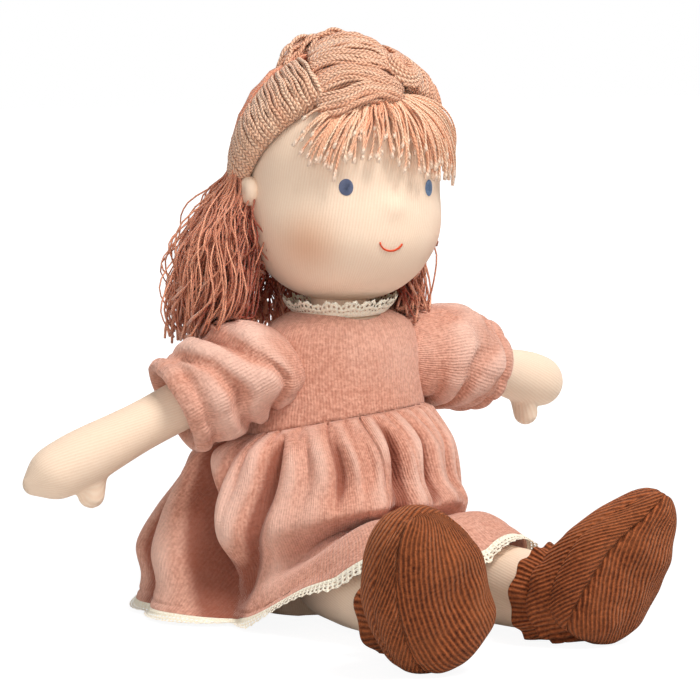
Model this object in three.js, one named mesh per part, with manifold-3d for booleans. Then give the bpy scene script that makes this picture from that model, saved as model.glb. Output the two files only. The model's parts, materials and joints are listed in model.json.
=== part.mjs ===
import * as THREE from 'three';
import { mergeVertices } from 'three/addons/utils/BufferGeometryUtils.js';
import Module from 'manifold-3d';

// A seated rag doll in millimetres. It faces -Y, its right side is -X, and it sits on z = 0.
// It is built about the neck's axis and then set back, so that the origin is the middle of its seat.

// Driving dimensions
const seamGap = 0.3;
const skinWall = 1.2;
const clothWall = 1.6;
const overrun = 20;
const flatDepth = 0.5;

const headHeight = 105;
const headHalfWidth = 43;
const headFront = 40;
const headBack = 40;
const chinLift = 6.5;
const neckBall = 13;
const neckStem = 11;
const neckStemTop = 20;
const neckTieWire = 0.9;

const torsoHeight = 125.5;
const seatSetback = 20;
const neckSink = 0.5;
const nodHeight = torsoHeight - neckSink;
const hipHalfWidth = 45;
const bellyFront = 36;
const backDepth = 33;

const armLength = 110;
const armRadius = 12;
const shoulderX = 47;
const shoulderHeight = 106;
const shoulderSetback = -4;
const thumbLength = 12;
const thumbRadius = 5;
const thumbDrop = 11.5;
const thumbPlace = 82;

const legLength = 132;
const thighRadius = 19;
const ankleRadius = 16.5;
const hipX = 20;

const shoeLength = 71;
const shoeHalfWidth = 25.5;
const soleDepth = 12;
const instepDepth = 33;
const footInset = 2.4;
const cuffDepth = 12;
const hipForwards = { right: 30, left: 12 };

const waistHeight = 80.3;
const necklineRise = 4;
const necklineHeight = nodHeight + necklineRise;
const necklineRadius = 19;
const armholeRadius = 16.5;
const sleeveLengths = { right: 38, left: 33 };
const sleeveRootRadius = 18;
const sleeveHemRadius = 21;
const sleeveTurnIn = 9;
const skirtReach = 111;
const gatherDepth = 2.2;
const hemLaceWidth = 6;
const collarLaceHeight = 8;
const collarLaceFlare = 4;
const laceWall = 1.1;
const placketWidth = 12;
const placketLength = 34;

const capWall = 1.1;
const hairDepth = 8.6;
const bandDepth = 8;
const fringeDepth = 3.6;
const hairlineTopZ = 222;
const hairlineReach = 28;
const hairlineTilt = THREE.MathUtils.degToRad(45.8);
const partingX = 25;
const curtainTop = 200;
const curtainTip = 113;
const knotRadius = 11;
const knotX = 15.5;
const knotForward = 17;
const knotDrop = 2.6;
const tuftHeight = 250;
const knotHeightShare = 0.62;

// Angles at which the limbs and the head rest
const degrees = THREE.MathUtils.degToRad;
const headRoll = degrees(2);
const faceRoll = degrees(3.5);
const waistSlopeX = 0.092;
const waistSlopeY = -0.176;
const armRest = {
  right: { side: -1, sweep: degrees(14.7), droop: degrees(26) },
  left: { side: 1, sweep: degrees(24.5), droop: degrees(12.5) },
};
const legRest = {
  right: { side: -1, splay: degrees(11), toeOut: degrees(16), toeDown: degrees(14) },
  left: { side: 1, splay: degrees(3), toeOut: degrees(18), toeDown: degrees(19) },
};
const thumbTilt = degrees(-32);

const wasm = await Module();
wasm.setup();

// Turns a closed mesh into a solid that can be joined and cut
function solidOf(geometry) {
  const bare = geometry.clone();
  bare.deleteAttribute('normal');
  bare.deleteAttribute('uv');
  const merged = mergeVertices(bare);
  return new wasm.Manifold(new wasm.Mesh({
    numProp: 3,
    vertProperties: merged.attributes.position.array,
    triVerts: merged.index.array,
  }));
}

function geometryOf(solid) {
  const mesh = solid.getMesh();
  const geometry = new THREE.BufferGeometry();
  geometry.setAttribute('position', new THREE.BufferAttribute(mesh.vertProperties, 3));
  geometry.setIndex(new THREE.BufferAttribute(mesh.triVerts, 1));
  geometry.computeVertexNormals();
  return geometry;
}

function cut(solid, ...cutters) {
  return cutters.reduce((left, cutter) => left.subtract(cutter), solid);
}

function join(first, ...others) {
  return others.reduce((sum, other) => sum.add(other), first);
}

function signedVolume(points, faces) {
  let sum = 0;
  for (let i = 0; i < faces.length; i += 3) {
    const [a, b, c] = [points[faces[i]], points[faces[i + 1]], points[faces[i + 2]]];
    sum += a.dot(b.clone().cross(c));
  }
  return sum;
}

// Skins a row of closed loops: ends get a cap, or the last loop joins the first
function loft(loops, ringShaped = false) {
  const sides = loops[0].length;
  const points = loops.flat();
  const faces = [];
  const spans = ringShaped ? loops.length : loops.length - 1;
  for (let i = 0; i < spans; i += 1) {
    const here = i * sides;
    const next = ((i + 1) % loops.length) * sides;
    for (let j = 0; j < sides; j += 1) {
      const k = (j + 1) % sides;
      faces.push(here + j, here + k, next + k, here + j, next + k, next + j);
    }
  }
  if (!ringShaped) {
    for (const [loop, start, turned] of [[loops[0], 0, true], [loops.at(-1), (loops.length - 1) * sides, false]]) {
      const hub = points.length;
      const middle = new THREE.Vector3();
      loop.forEach((point) => middle.addScaledVector(point, 1 / sides));
      points.push(middle);
      for (let j = 0; j < sides; j += 1) {
        const k = (j + 1) % sides;
        faces.push(hub, start + (turned ? k : j), start + (turned ? j : k));
      }
    }
  }
  if (signedVolume(points, faces) < 0) faces.reverse();
  const geometry = new THREE.BufferGeometry();
  geometry.setAttribute('position', new THREE.Float32BufferAttribute(points.flatMap((p) => p.toArray()), 3));
  geometry.setIndex(faces);
  return geometry;
}

// One oval loop across local Z, deeper or shallower to the front (-Y) than to the back
function ovalLoop(z, halfWidth, front, back, sides, turn = 0) {
  return Array.from({ length: sides }, (_, j) => {
    const angle = turn + (j * 2 * Math.PI) / sides;
    const y = Math.sin(angle);
    return new THREE.Vector3(halfWidth * Math.cos(angle), y < 0 ? front * y : back * y, z);
  });
}

// A stuffed form: rows of [place, half width, front, back] shares along its length, swollen by grow
function stuffed(shares, size, sides, grow = 0) {
  return loft(shares.map(([place, wide, front, back]) => {
    const deep = [wide * size.halfWidth, front * size.front, back * size.back].map((v) => Math.max(v + grow, seamGap));
    return ovalLoop(place * (size.length + 2 * grow) - grow, ...deep, sides);
  }));
}

// A limb along local Z: a round root about the origin, then rows of [place, half width, front, back] shares
const rootSteps = 4;
function limb(shares, size, sides, grow = 0) {
  const radius = size.halfWidth + grow;
  const loops = [];
  for (let i = 0; i < rootSteps; i += 1) {
    const angle = ((i + 0.4) * Math.PI) / 2 / rootSteps;
    const across = radius * Math.sin(angle);
    loops.push(ovalLoop(-radius * Math.cos(angle), across, across, across, sides));
  }
  for (const [place, wide, front, back] of shares) {
    const z = place * (size.length + grow);
    const deep = [wide * size.halfWidth, front * size.front, back * size.back].map((v) => Math.max(v + grow, seamGap));
    loops.push(ovalLoop(z, ...deep, sides));
  }
  return loft(loops);
}

// A smooth curve through evenly spaced values, at share 0 to 1, or round a closed row
function smoothAt(values, share, closedRow = false) {
  const count = values.length;
  const spot = share * (closedRow ? count : count - 1);
  const i = Math.min(Math.floor(spot), closedRow ? count : count - 2);
  const t = spot - i;
  const pick = (k) => (closedRow ? values[(k + count) % count] : values[Math.min(Math.max(k, 0), count - 1)]);
  const [a, b, c, d] = [pick(i - 1), pick(i), pick(i + 1), pick(i + 2)];
  return b + 0.5 * t * (c - a + t * (2 * a - 5 * b + 4 * c - d + t * (3 * (b - c) + d - a)));
}

function moved(geometry, x, y, z) {
  return geometry.translate(x, y, z);
}

function block(x0, x1, y0, y1, z0, z1) {
  const box = new THREE.BoxGeometry(x1 - x0, y1 - y0, z1 - z0);
  return moved(box, (x0 + x1) / 2, (y0 + y1) / 2, (z0 + z1) / 2);
}

// Room for a ball: its flat facets stay outside the true sphere
function roomBall(radius, centre, across = 10, down = 6) {
  const outside = radius / (Math.cos(Math.PI / across) * Math.cos(Math.PI / (2 * down)));
  return solidOf(new THREE.SphereGeometry(outside, across, down).translate(centre.x, centre.y, centre.z));
}

// A round bar along local Z
function bar(radius, z0, z1, sides) {
  return moved(new THREE.CylinderGeometry(radius, radius, z1 - z0, sides).rotateX(Math.PI / 2), 0, 0, (z0 + z1) / 2);
}

function baseMaterial(color, roughness = 0.9) {
  return new THREE.MeshStandardMaterial({ color, roughness, metalness: 0 });
}

const knit = baseMaterial(0xf0dcc0);
const stuffing = baseMaterial(0xf6f2ea);
const velour = baseMaterial(0xcf9a86);
const lace = baseMaterial(0xefe6cc);
const yarn = baseMaterial(0xd49a80, 0.7);
const corduroy = baseMaterial(0x8a4a28);
const blueThread = baseMaterial(0x4a5a86, 0.6);
const redThread = baseMaterial(0xd84f2a, 0.6);
const whiteTape = baseMaterial(0xe8ddd0);
const cord = baseMaterial(0xd9c9ae);

const doll = new THREE.Group();

// Adds a solid given in the doll's frame to a group as that group's own mesh
function addPiece(group, name, solid, material) {
  group.updateWorldMatrix(true, false);
  const geometry = geometryOf(solid).applyMatrix4(group.matrixWorld.clone().invert());
  const mesh = new THREE.Mesh(geometry, material);
  mesh.name = name;
  group.add(mesh);
  return mesh;
}

function addGroup(parent, position, quaternion = new THREE.Quaternion()) {
  const group = new THREE.Group();
  group.position.copy(position);
  group.quaternion.copy(quaternion);
  parent.add(group);
  group.updateWorldMatrix(true, false);
  return group;
}

function inFrameOf(group, geometry) {
  return solidOf(geometry.applyMatrix4(group.matrixWorld));
}

// Everything under a level
function floorBelow(level) {
  const far = 3 * skirtReach;
  return solidOf(block(-far, far, -far, far, -far, level));
}
const floorSlab = floorBelow(0);

// Torso

const torsoShares = [
  [0, 0.84, 0.8, 0.86],
  [0.06, 0.96, 0.94, 0.98],
  [0.18, 1.02, 1, 1.03],
  [0.33, 1, 1, 0.97],
  [0.48, 0.93, 0.93, 0.88],
  [0.62, 0.86, 0.78, 0.78],
  [0.76, 0.81, 0.68, 0.72],
  [0.88, 0.79, 0.62, 0.67],
  [0.95, 0.71, 0.55, 0.58],
  [0.985, 0.55, 0.47, 0.5],
  [1, 0.38, 0.4, 0.42],
];
const torsoSize = {
  length: torsoHeight, halfWidth: hipHalfWidth, front: bellyFront, back: backDepth,
};

const torsoSides = 16;
const innerSides = 10;

function torsoForm(grow, sides = torsoSides) {
  return stuffed(torsoShares, torsoSize, sides, grow);
}

const nodPivot = new THREE.Vector3(0, 0, nodHeight);
const shoulders = {};
const hips = {};
for (const side of ['right', 'left']) {
  shoulders[side] = new THREE.Vector3(armRest[side].side * shoulderX, shoulderSetback, shoulderHeight);
  hips[side] = new THREE.Vector3(legRest[side].side * hipX, -hipForwards[side], thighRadius - flatDepth);
}

// The torso leaves room for the neck's ball, the arms' round ends and the thighs, also as they swing down
function torsoSolid(grow, sides) {
  const room = seamGap - grow;
  const facets = grow < 0 ? [6, 4] : [10, 6];
  const cutters = [roomBall(neckBall + room, nodPivot, ...facets)];
  for (const side of ['right', 'left']) {
    const hip = hips[side];
    const thigh = thighRadius + room;
    const inner = hip.x - legRest[side].side * (hipX + thigh / 2);
    const outer = hip.x + legRest[side].side * (thigh + overrun);
    const [x0, x1] = [Math.min(inner, outer), Math.max(inner, outer)];
    cutters.push(roomBall(armRadius + room, shoulders[side], ...facets));
    cutters.push(roomBall(thigh, hip, ...facets));
    cutters.push(solidOf(block(x0, x1, -3 * overrun, hip.y + thigh, -overrun, hip.z)));
    cutters.push(solidOf(block(x0, x1, -3 * overrun, hip.y, -overrun, hip.z + thigh)));
  }
  return cut(solidOf(torsoForm(grow, sides)), ...cutters, floorBelow(Math.max(0, -grow)));
}

const slitShares = [0.4, 0.65];
const [slitLow, slitHigh] = slitShares.map((share) => share * torsoHeight);
const backSlit = solidOf(block(-skinWall, skinWall, 0, backDepth + overrun, slitLow, slitHigh));
addPiece(doll, 'torso_skin', cut(torsoSolid(0, torsoSides), torsoSolid(-skinWall, innerSides), backSlit), knit);
addPiece(doll, 'torso_filling', torsoSolid(-skinWall - seamGap, innerSides), stuffing);

// Head and neck

const neckGroup = addGroup(doll, nodPivot, new THREE.Quaternion().setFromEuler(new THREE.Euler(0, headRoll, 0)));

const headShares = [
  [0, 0.2, 0.215, 0.215],
  [0.025, 0.43, 0.462, 0.462],
  [0.07, 0.63, 0.677, 0.677],
  [0.14, 0.81, 0.85, 0.84],
  [0.24, 0.95, 0.98, 0.92],
  [0.34, 1, 1, 0.97],
  [0.47, 0.985, 0.965, 1],
  [0.6, 0.98, 0.965, 1],
  [0.72, 0.905, 0.9, 0.94],
  [0.83, 0.75, 0.755, 0.79],
  [0.92, 0.53, 0.535, 0.56],
  [0.975, 0.3, 0.3, 0.31],
  [1, 0.08, 0.08, 0.08],
];
const headSize = {
  length: headHeight, halfWidth: headHalfWidth, front: headFront, back: headBack,
};

const headSides = 18;

function headForm(grow, sides = headSides) {
  return stuffed(headShares, headSize, sides, grow).translate(0, 0, chinLift);
}

function headSolid(grow, sides) {
  const stemRoom = seamGap - grow;
  const form = solidOf(headForm(grow, sides).applyMatrix4(neckGroup.matrixWorld));
  return cut(form, inFrameOf(neckGroup, bar(neckStem + stemRoom, -overrun, neckStemTop + stemRoom, 16)));
}

const stemProfile = [new THREE.Vector2(0, -neckBall)];
const ballSteps = 6;
const stemStart = Math.acos(neckStem / neckBall);
for (let i = 1; i <= ballSteps; i += 1) {
  const angle = -Math.PI / 2 + (i * (Math.PI / 2 + stemStart)) / ballSteps;
  stemProfile.push(new THREE.Vector2(neckBall * Math.cos(angle), neckBall * Math.sin(angle)));
}
stemProfile.push(new THREE.Vector2(neckStem, neckStemTop), new THREE.Vector2(0, neckStemTop));
const stemForm = new THREE.LatheGeometry(stemProfile, 16).rotateX(Math.PI / 2);
addPiece(neckGroup, 'neck_stem', inFrameOf(neckGroup, stemForm), knit);

const headGroup = addGroup(neckGroup, new THREE.Vector3());
const headCore = headSolid(0, headSides);
const [crownSlitLow, crownSlitHigh] = slitShares.map((share) => chinLift + share * headHeight);
const headSlit = inFrameOf(headGroup, block(
  -skinWall, skinWall, headBack / 2, headBack + overrun, crownSlitLow, crownSlitHigh,
));
addPiece(headGroup, 'head_skin', cut(headCore, headSolid(-skinWall, innerSides), headSlit), knit);
addPiece(headGroup, 'head_filling', headSolid(-skinWall - seamGap, innerSides), stuffing);

const tieHeight = chinLift - neckTieWire - 2 * seamGap;
const tieRadius = Math.sqrt(neckBall ** 2 - (tieHeight - neckTieWire) ** 2) + seamGap + neckTieWire;
const tieRing = moved(new THREE.TorusGeometry(tieRadius, neckTieWire, 5, 14), 0, 0, tieHeight);
addPiece(neckGroup, 'neck_tie', inFrameOf(neckGroup, tieRing), cord);

// A layer that follows the head between two distances from its skin
function headLayer(inner, outer, sides = headSides) {
  return cut(
    solidOf(headForm(outer, sides).applyMatrix4(headGroup.matrixWorld)),
    solidOf(headForm(inner, sides).applyMatrix4(headGroup.matrixWorld)),
  );
}

// Face: eyes, smile and ears, a little askew as sewn by hand

const eyeX = 20.5;
const eyeHeight = 55;
const eyeHalfWidth = 2.6;
const eyeHalfHeight = 3.4;
const smileHeight = 29.8;
const smileOffset = -1.5;
const smileHalfWidth = 6.2;
const smileRise = 4.2;
const smileWire = 0.7;
const earHeight = 52.5;
const earHalfHeight = 6.4;
const earHalfDepth = 5.6;
const earReach = 5;
const earSetback = 7;
const threadWall = 0.7;

const threadLayer = headLayer(seamGap, seamGap + threadWall);
const faceTurn = new THREE.Matrix4().makeRotationY(faceRoll);

function facePatch(geometry, height) {
  const placed = geometry.applyMatrix4(faceTurn).translate(0, 0, height);
  return threadLayer.intersect(inFrameOf(headGroup, placed));
}

const earRooms = [];
function earForm(sign, grow) {
  const flap = new THREE.SphereGeometry(1, 10, 6).scale(earReach + grow, earHalfDepth + grow, earHalfHeight + grow);
  return inFrameOf(headGroup, flap.translate(sign * headHalfWidth, earSetback, earHeight));
}

for (const [side, sign] of [['right', -1], ['left', 1]]) {
  const iris = new THREE.CylinderGeometry(1, 1, headFront, 12);
  iris.scale(eyeHalfWidth, 1, eyeHalfHeight).translate(sign * eyeX, -headFront, 0);
  addPiece(headGroup, `${side}_eye`, facePatch(iris, eyeHeight), blueThread);

  const headRoom = solidOf(headForm(seamGap).applyMatrix4(headGroup.matrixWorld));
  addPiece(headGroup, `${side}_ear`, cut(earForm(sign, 0), headRoom), knit);
  earRooms.push(earForm(sign, seamGap));
}

const smileSteps = 6;
const smileUpper = [];
const smileLower = [];
for (let i = 0; i <= smileSteps; i += 1) {
  const share = (2 * i) / smileSteps - 1;
  const rise = smileRise * share * share;
  smileUpper.push(new THREE.Vector2(smileHalfWidth * share, rise + smileWire));
  smileLower.unshift(new THREE.Vector2(smileHalfWidth * share, rise - smileWire));
}
const smileBar = new THREE.ExtrudeGeometry(new THREE.Shape([...smileUpper, ...smileLower]), {
  depth: headFront, bevelEnabled: false,
});
smileBar.rotateX(Math.PI / 2).translate(smileOffset, -headFront / 2, 0);
addPiece(headGroup, 'mouth', facePatch(smileBar, smileHeight), redThread);

// Hair: a cap sewn to the head, with the yarn laid over it in bands, a crown, a fringe and a long curtain

// Everything above and behind a slanted plane, set back from the hairline by a distance
function behindHairline(setback, depth = 8 * overrun) {
  const slab = block(-4 * overrun, 4 * overrun, -8 * overrun, 8 * overrun, setback, setback + depth);
  slab.rotateX(-hairlineTilt).translate(0, -hairlineReach, hairlineTopZ);
  return solidOf(slab);
}

function sideOf(sign, x) {
  const far = 5 * overrun;
  const slab = sign < 0 ? block(-far, x, -far, far, 0, 3 * far) : block(x, far, -far, far, 0, 3 * far);
  return solidOf(slab);
}

const capOuter = seamGap + capWall;
const yarnInner = capOuter + seamGap;
const bandWidth = 27;
const bandEndHeight = 166;
const capTrim = solidOf(block(-4 * overrun, 4 * overrun, -4 * overrun, 4 * overrun, curtainTip, nodHeight + chinLift * 3));
addPiece(headGroup, 'wig_cap', cut(headLayer(seamGap, capOuter).intersect(behindHairline(0)), capTrim, ...earRooms), yarn);

const knotPlace = new THREE.Vector3(knotX, -knotForward, headHeight + chinLift + capWall - knotDrop);
const knotRoom = inFrameOf(headGroup, new THREE.SphereGeometry(1, 16, 10)
  .scale(knotRadius + seamGap, knotRadius + seamGap, knotRadius * knotHeightShare + seamGap)
  .translate(knotPlace.x, knotPlace.y, knotPlace.z));
const bandLayer = headLayer(yarnInner, yarnInner + bandDepth);
const bandStrip = behindHairline(0, bandWidth);
for (const [side, sign] of [['right', -1], ['left', 1]]) {
  const strip = cut(
    bandLayer.intersect(bandStrip).intersect(sideOf(sign, sign * (partingX + seamGap))),
    solidOf(block(-5 * overrun, 5 * overrun, -5 * overrun, 5 * overrun, 0, bandEndHeight)), knotRoom, ...earRooms,
  );
  addPiece(headGroup, `${side}_hair_band`, strip, yarn);
}

const crownBack = 24;
const middleStrip = solidOf(block(
  -partingX, partingX, -2 * headFront, crownBack, curtainTop, tuftHeight + overrun,
)).intersect(behindHairline(-bandWidth / 4));
const crownLayer = headLayer(yarnInner, yarnInner + hairDepth);
addPiece(headGroup, 'crown_hair', cut(crownLayer.intersect(middleStrip), knotRoom), yarn);
addPiece(headGroup, 'crown_knot', cut(
  inFrameOf(headGroup, new THREE.SphereGeometry(1, 14, 8)
    .scale(knotRadius, knotRadius, knotRadius * knotHeightShare)
    .translate(knotPlace.x, knotPlace.y, knotPlace.z)),
  solidOf(headForm(yarnInner).applyMatrix4(headGroup.matrixWorld)),
), yarn);

// Fringe: pointed locks that fan down over the forehead
const fringeTipShares = [
  [-0.84, 0.34], [-0.78, 0.12], [-0.66, 0.2], [-0.62, 0], [-0.46, 0.26], [-0.36, 0.34], [-0.2, 0.42], [-0.08, 0.36],
  [0.06, 0.38], [0.16, 0.22], [0.3, 0.14], [0.42, 0.02], [0.5, 0.14], [0.6, 0.05], [0.74, 0.16], [0.86, 0.1],
  [0.98, 0.2], [1, 0.5],
];
const fringeHalfWidth = 45.5;
const fringeTopHalfWidth = 25;
const fringeTop = 97;
const fringeBottom = 61;
const fringeOutline = fringeTipShares.map(([x, z]) => new THREE.Vector2(
  x * fringeHalfWidth,
  fringeBottom + z * (fringeTop - fringeBottom),
));
fringeOutline.push(new THREE.Vector2(fringeTopHalfWidth, fringeTop), new THREE.Vector2(-fringeTopHalfWidth, fringeTop));
const fringePlate = new THREE.ExtrudeGeometry(new THREE.Shape(fringeOutline), {
  depth: 2 * headFront, bevelEnabled: false,
});
fringePlate.rotateX(Math.PI / 2);
const fringeLayer = headLayer(seamGap, seamGap + fringeDepth);
addPiece(headGroup, 'fringe', cut(
  fringeLayer.intersect(inFrameOf(headGroup, fringePlate)),
  behindHairline(-bandWidth / 4 - seamGap),
), yarn);

// Long hair: an upright curtain of lofted sections round the back of the head
const curtainRows = 7;
const curtainColumns = 6;

const curtainOuterShares = [0.94, 1.07, 1.2, 1.34, 1.43, 1.47, 1.4];
const curtainInnerShares = [0.6, 0.6, 0.64, 0.72, 0.84, 0.97, 1.08];

// Shares are of the head and its band of hair: the curtain swings out as it falls
function hairCurtain(fromAngle, toAngle, tipShares, fullness) {
  const reachOf = (row, t) => smoothAt(row, t) * (headHalfWidth + bandDepth);
  const loops = [];
  for (let i = 0; i <= curtainRows; i += 1) {
    const t = i / curtainRows;
    const outer = [];
    const inner = [];
    for (let j = 0; j <= curtainColumns; j += 1) {
      const share = j / curtainColumns;
      const angle = fromAngle + (toAngle - fromAngle) * share;
      const tip = THREE.MathUtils.lerp(curtainTip, curtainTop, THREE.MathUtils.lerp(...tipShares, share));
      const z = THREE.MathUtils.lerp(curtainTop, tip, t);
      const full = THREE.MathUtils.lerp(...fullness, share);
      const round = new THREE.Vector3(Math.sin(angle), Math.cos(angle), 0);
      const out = Math.max(reachOf(curtainInnerShares, t) + seamGap, reachOf(curtainOuterShares, t) * full);
      outer.push(round.clone().multiplyScalar(out).setZ(z));
      inner.unshift(round.clone().multiplyScalar(Math.min(reachOf(curtainInnerShares, t), out - seamGap)).setZ(z));
    }
    loops.push([...outer, ...inner]);
  }
  return solidOf(loft(loops));
}

// Sleeves and arms

const armShares = [
  [0.04, 1, 1, 1],
  [0.2, 0.95, 0.95, 0.95],
  [0.5, 0.86, 0.86, 0.86],
  [0.65, 0.89, 0.89, 0.89],
  [0.79, 0.98, 1.02, 1.02],
  [0.9, 0.86, 0.93, 0.93],
  [0.97, 0.54, 0.62, 0.62],
  [1, 0.2, 0.24, 0.24],
];
const armSize = { length: armLength, halfWidth: armRadius, front: armRadius, back: armRadius };
const armSides = 10;
const armInnerSides = 6;

const armGroups = {};
for (const side of ['right', 'left']) {
  const { side: sign, sweep, droop } = armRest[side];
  const along = new THREE.Vector3(
    sign * Math.cos(droop) * Math.cos(sweep), Math.cos(droop) * Math.sin(sweep), -Math.sin(droop),
  );
  const up = new THREE.Vector3(0, 0, 1).addScaledVector(along, Math.sin(droop)).normalize();
  const across = up.clone().cross(along);
  const turn = new THREE.Quaternion().setFromRotationMatrix(new THREE.Matrix4().makeBasis(across, up, along));
  armGroups[side] = addGroup(doll, shoulders[side], turn);
}

function armSolid(side, grow, sides = armSides) {
  const thumb = new THREE.CapsuleGeometry(thumbRadius + grow, thumbLength, 2, 6);
  thumb.rotateX(thumbTilt).translate(0, -thumbDrop, thumbPlace);
  return join(
    inFrameOf(armGroups[side], limb(armShares, armSize, sides, grow)),
    inFrameOf(armGroups[side], thumb),
  );
}

// A closed profile of [reach, place] corners turned round local Z, with its radius gathered into folds
function turned(profile, sides, folds = 0, depth = 0) {
  const points = profile.map(([reach, place]) => new THREE.Vector2(reach, place));
  points.push(points[0].clone());
  const geometry = new THREE.LatheGeometry(points, sides).rotateX(Math.PI / 2);
  const spots = geometry.attributes.position;
  for (let i = 0; i < spots.count; i += 1) {
    const [x, y] = [spots.getX(i), spots.getY(i)];
    const swell = 1 + (depth * Math.cos(folds * Math.atan2(y, x))) / Math.hypot(x, y);
    spots.setXY(i, x * swell, y * swell);
  }
  return geometry;
}

const armOpeningRadius = 3;
for (const side of ['right', 'left']) {
  const group = armGroups[side];
  const opening = inFrameOf(group, bar(armOpeningRadius, -2 * armRadius, -armRadius / 2, 8));
  addPiece(group, `${side}_arm_skin`, cut(armSolid(side, 0), armSolid(side, -skinWall, armInnerSides), opening), knit);
  addPiece(group, `${side}_arm_filling`, armSolid(side, -skinWall - seamGap, armInnerSides), stuffing);
}

// Dress: bodice, sleeves, skirt, lace at the neck and hem, and a closure at the back

// The space under or over the waist seam, which slopes up to the front and to the left
function waistSpace(above, gap = 0) {
  const slab = block(-4 * overrun, 4 * overrun, -4 * overrun, 4 * overrun, above ? gap : -4 * overrun, above ? 4 * overrun : -gap);
  const normal = new THREE.Vector3(-waistSlopeX, -waistSlopeY, 1).normalize();
  slab.applyQuaternion(new THREE.Quaternion().setFromUnitVectors(new THREE.Vector3(0, 0, 1), normal));
  return solidOf(slab.translate(0, 0, waistHeight));
}

const bodiceInner = seamGap;
const bodiceOuter = seamGap + clothWall;
const necklineDrop = 2.2;
const bodiceForm = solidOf(torsoForm(bodiceOuter));
const necklineHole = solidOf(bar(necklineRadius, nodHeight - overrun, nodHeight + overrun, 24));
const armholes = ['right', 'left'].map((side) => roomBall(armholeRadius, shoulders[side]));
const placketSlot = solidOf(block(
  -placketWidth / 2, placketWidth / 2, 0, backDepth + overrun,
  necklineHeight - necklineDrop - placketLength, necklineHeight + overrun,
));
const bodice = cut(
  bodiceForm.intersect(waistSpace(true, seamGap)),
  solidOf(torsoForm(bodiceInner)), necklineHole, placketSlot, ...armholes,
);
addPiece(doll, 'dress_bodice', bodice, velour);

const tapeWall = (clothWall - seamGap) / 2;
const tapes = [['closure_loop_tape', bodiceInner], ['closure_hook_tape', bodiceInner + tapeWall + seamGap]];
const tapeSpace = solidOf(block(
  seamGap - placketWidth / 2, placketWidth / 2 - seamGap, 0, backDepth + overrun,
  necklineHeight - necklineDrop - placketLength + seamGap, necklineHeight - placketLength / 4,
));
for (const [name, start] of tapes) {
  addPiece(doll, name, cut(
    solidOf(torsoForm(start + tapeWall)).intersect(tapeSpace),
    solidOf(torsoForm(start)), necklineHole,
  ), whiteTape);
}

const sleeveFolds = 4;
const sleeveSides = 12;
const sleeveFoldDepth = 0.9;
const sleeveRootReach = 15;
const sleeveSwellRadius = 20.5;
const sleevePuffRadius = 21.6;
const swellShare = 0.4;
const puffShare = 0.75;
const turnShare = 0.93;

// Walls out along the sleeve, turned in at its hem and gathered on the arm, and back inside
function sleeveProfile(length) {
  const cuff = armRadius + seamGap * 3;
  return [
    [sleeveRootRadius, -sleeveRootReach],
    [sleeveRootRadius, 0],
    [sleeveSwellRadius, length * swellShare],
    [sleevePuffRadius, length * puffShare],
    [sleeveHemRadius, length * turnShare],
    [sleeveHemRadius - clothWall, length],
    [cuff + clothWall, length - sleeveTurnIn],
    [cuff, length - sleeveTurnIn - clothWall],
    [sleeveHemRadius - 2 * clothWall, length - 2 * clothWall],
    [sleevePuffRadius - clothWall, length * puffShare],
    [sleeveSwellRadius - clothWall, length * swellShare],
    [sleeveRootRadius - clothWall, 0],
    [sleeveRootRadius - clothWall, -sleeveRootReach],
  ];
}
const dressRoom = solidOf(torsoForm(bodiceOuter + seamGap));
for (const side of ['right', 'left']) {
  const sleeve = turned(sleeveProfile(sleeveLengths[side]), sleeveSides, sleeveFolds, sleeveFoldDepth);
  addPiece(armGroups[side], `${side}_sleeve`, cut(
    inFrameOf(armGroups[side], sleeve), dressRoom, armSolid(side, seamGap),
  ), velour);
}

const collarProfile = [
  [necklineRadius - laceWall, necklineHeight - necklineDrop - laceWall * 2],
  [necklineRadius + collarLaceFlare, necklineHeight + laceWall],
  [necklineRadius + collarLaceFlare * 1.4, necklineHeight + collarLaceHeight],
  [necklineRadius + collarLaceFlare * 1.4 - laceWall, necklineHeight + collarLaceHeight],
  [necklineRadius + collarLaceFlare - laceWall, necklineHeight + laceWall],
  [necklineRadius - 2 * laceWall, necklineHeight - necklineDrop - laceWall * 2],
];
const collarScallops = 8;
const scallopDepth = 0.5;
addPiece(doll, 'collar_lace', cut(
  solidOf(turned(collarProfile, 2 * collarScallops, collarScallops, scallopDepth)),
  solidOf(torsoForm(bodiceOuter + seamGap)), headSolid(seamGap, headSides),
), lace);

// Legs: a stuffed tube that ends in a foot, which fills the shoe

const legShares = [
  [0.03, 1, 1, 1],
  [0.3, 1, 1, 1],
  [0.6, 0.93, 0.93, 0.93],
  [0.85, 0.87, 0.87, 0.87],
  [1, 0.8, 0.8, 0.8],
];
const legSides = 12;
const legInnerSides = 6;
const legSize = { length: legLength - soleDepth, halfWidth: thighRadius, front: thighRadius, back: thighRadius };
const shoeShares = [
  [0, 0.28, 0.4, 0.32],
  [0.03, 0.55, 0.64, 0.55],
  [0.1, 0.78, 0.84, 0.78],
  [0.22, 0.93, 0.97, 0.95],
  [0.38, 1, 1, 1],
  [0.55, 0.98, 1, 0.94],
  [0.72, 0.88, 0.94, 0.78],
  [0.86, 0.69, 0.76, 0.56],
  [0.95, 0.46, 0.54, 0.36],
  [1, 0.18, 0.26, 0.16],
];
const shoeSize = {
  length: shoeLength, halfWidth: shoeHalfWidth, front: soleDepth, back: instepDepth,
};

const shoeSides = 14;
const footSides = 10;
const footInnerSides = 6;

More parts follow.
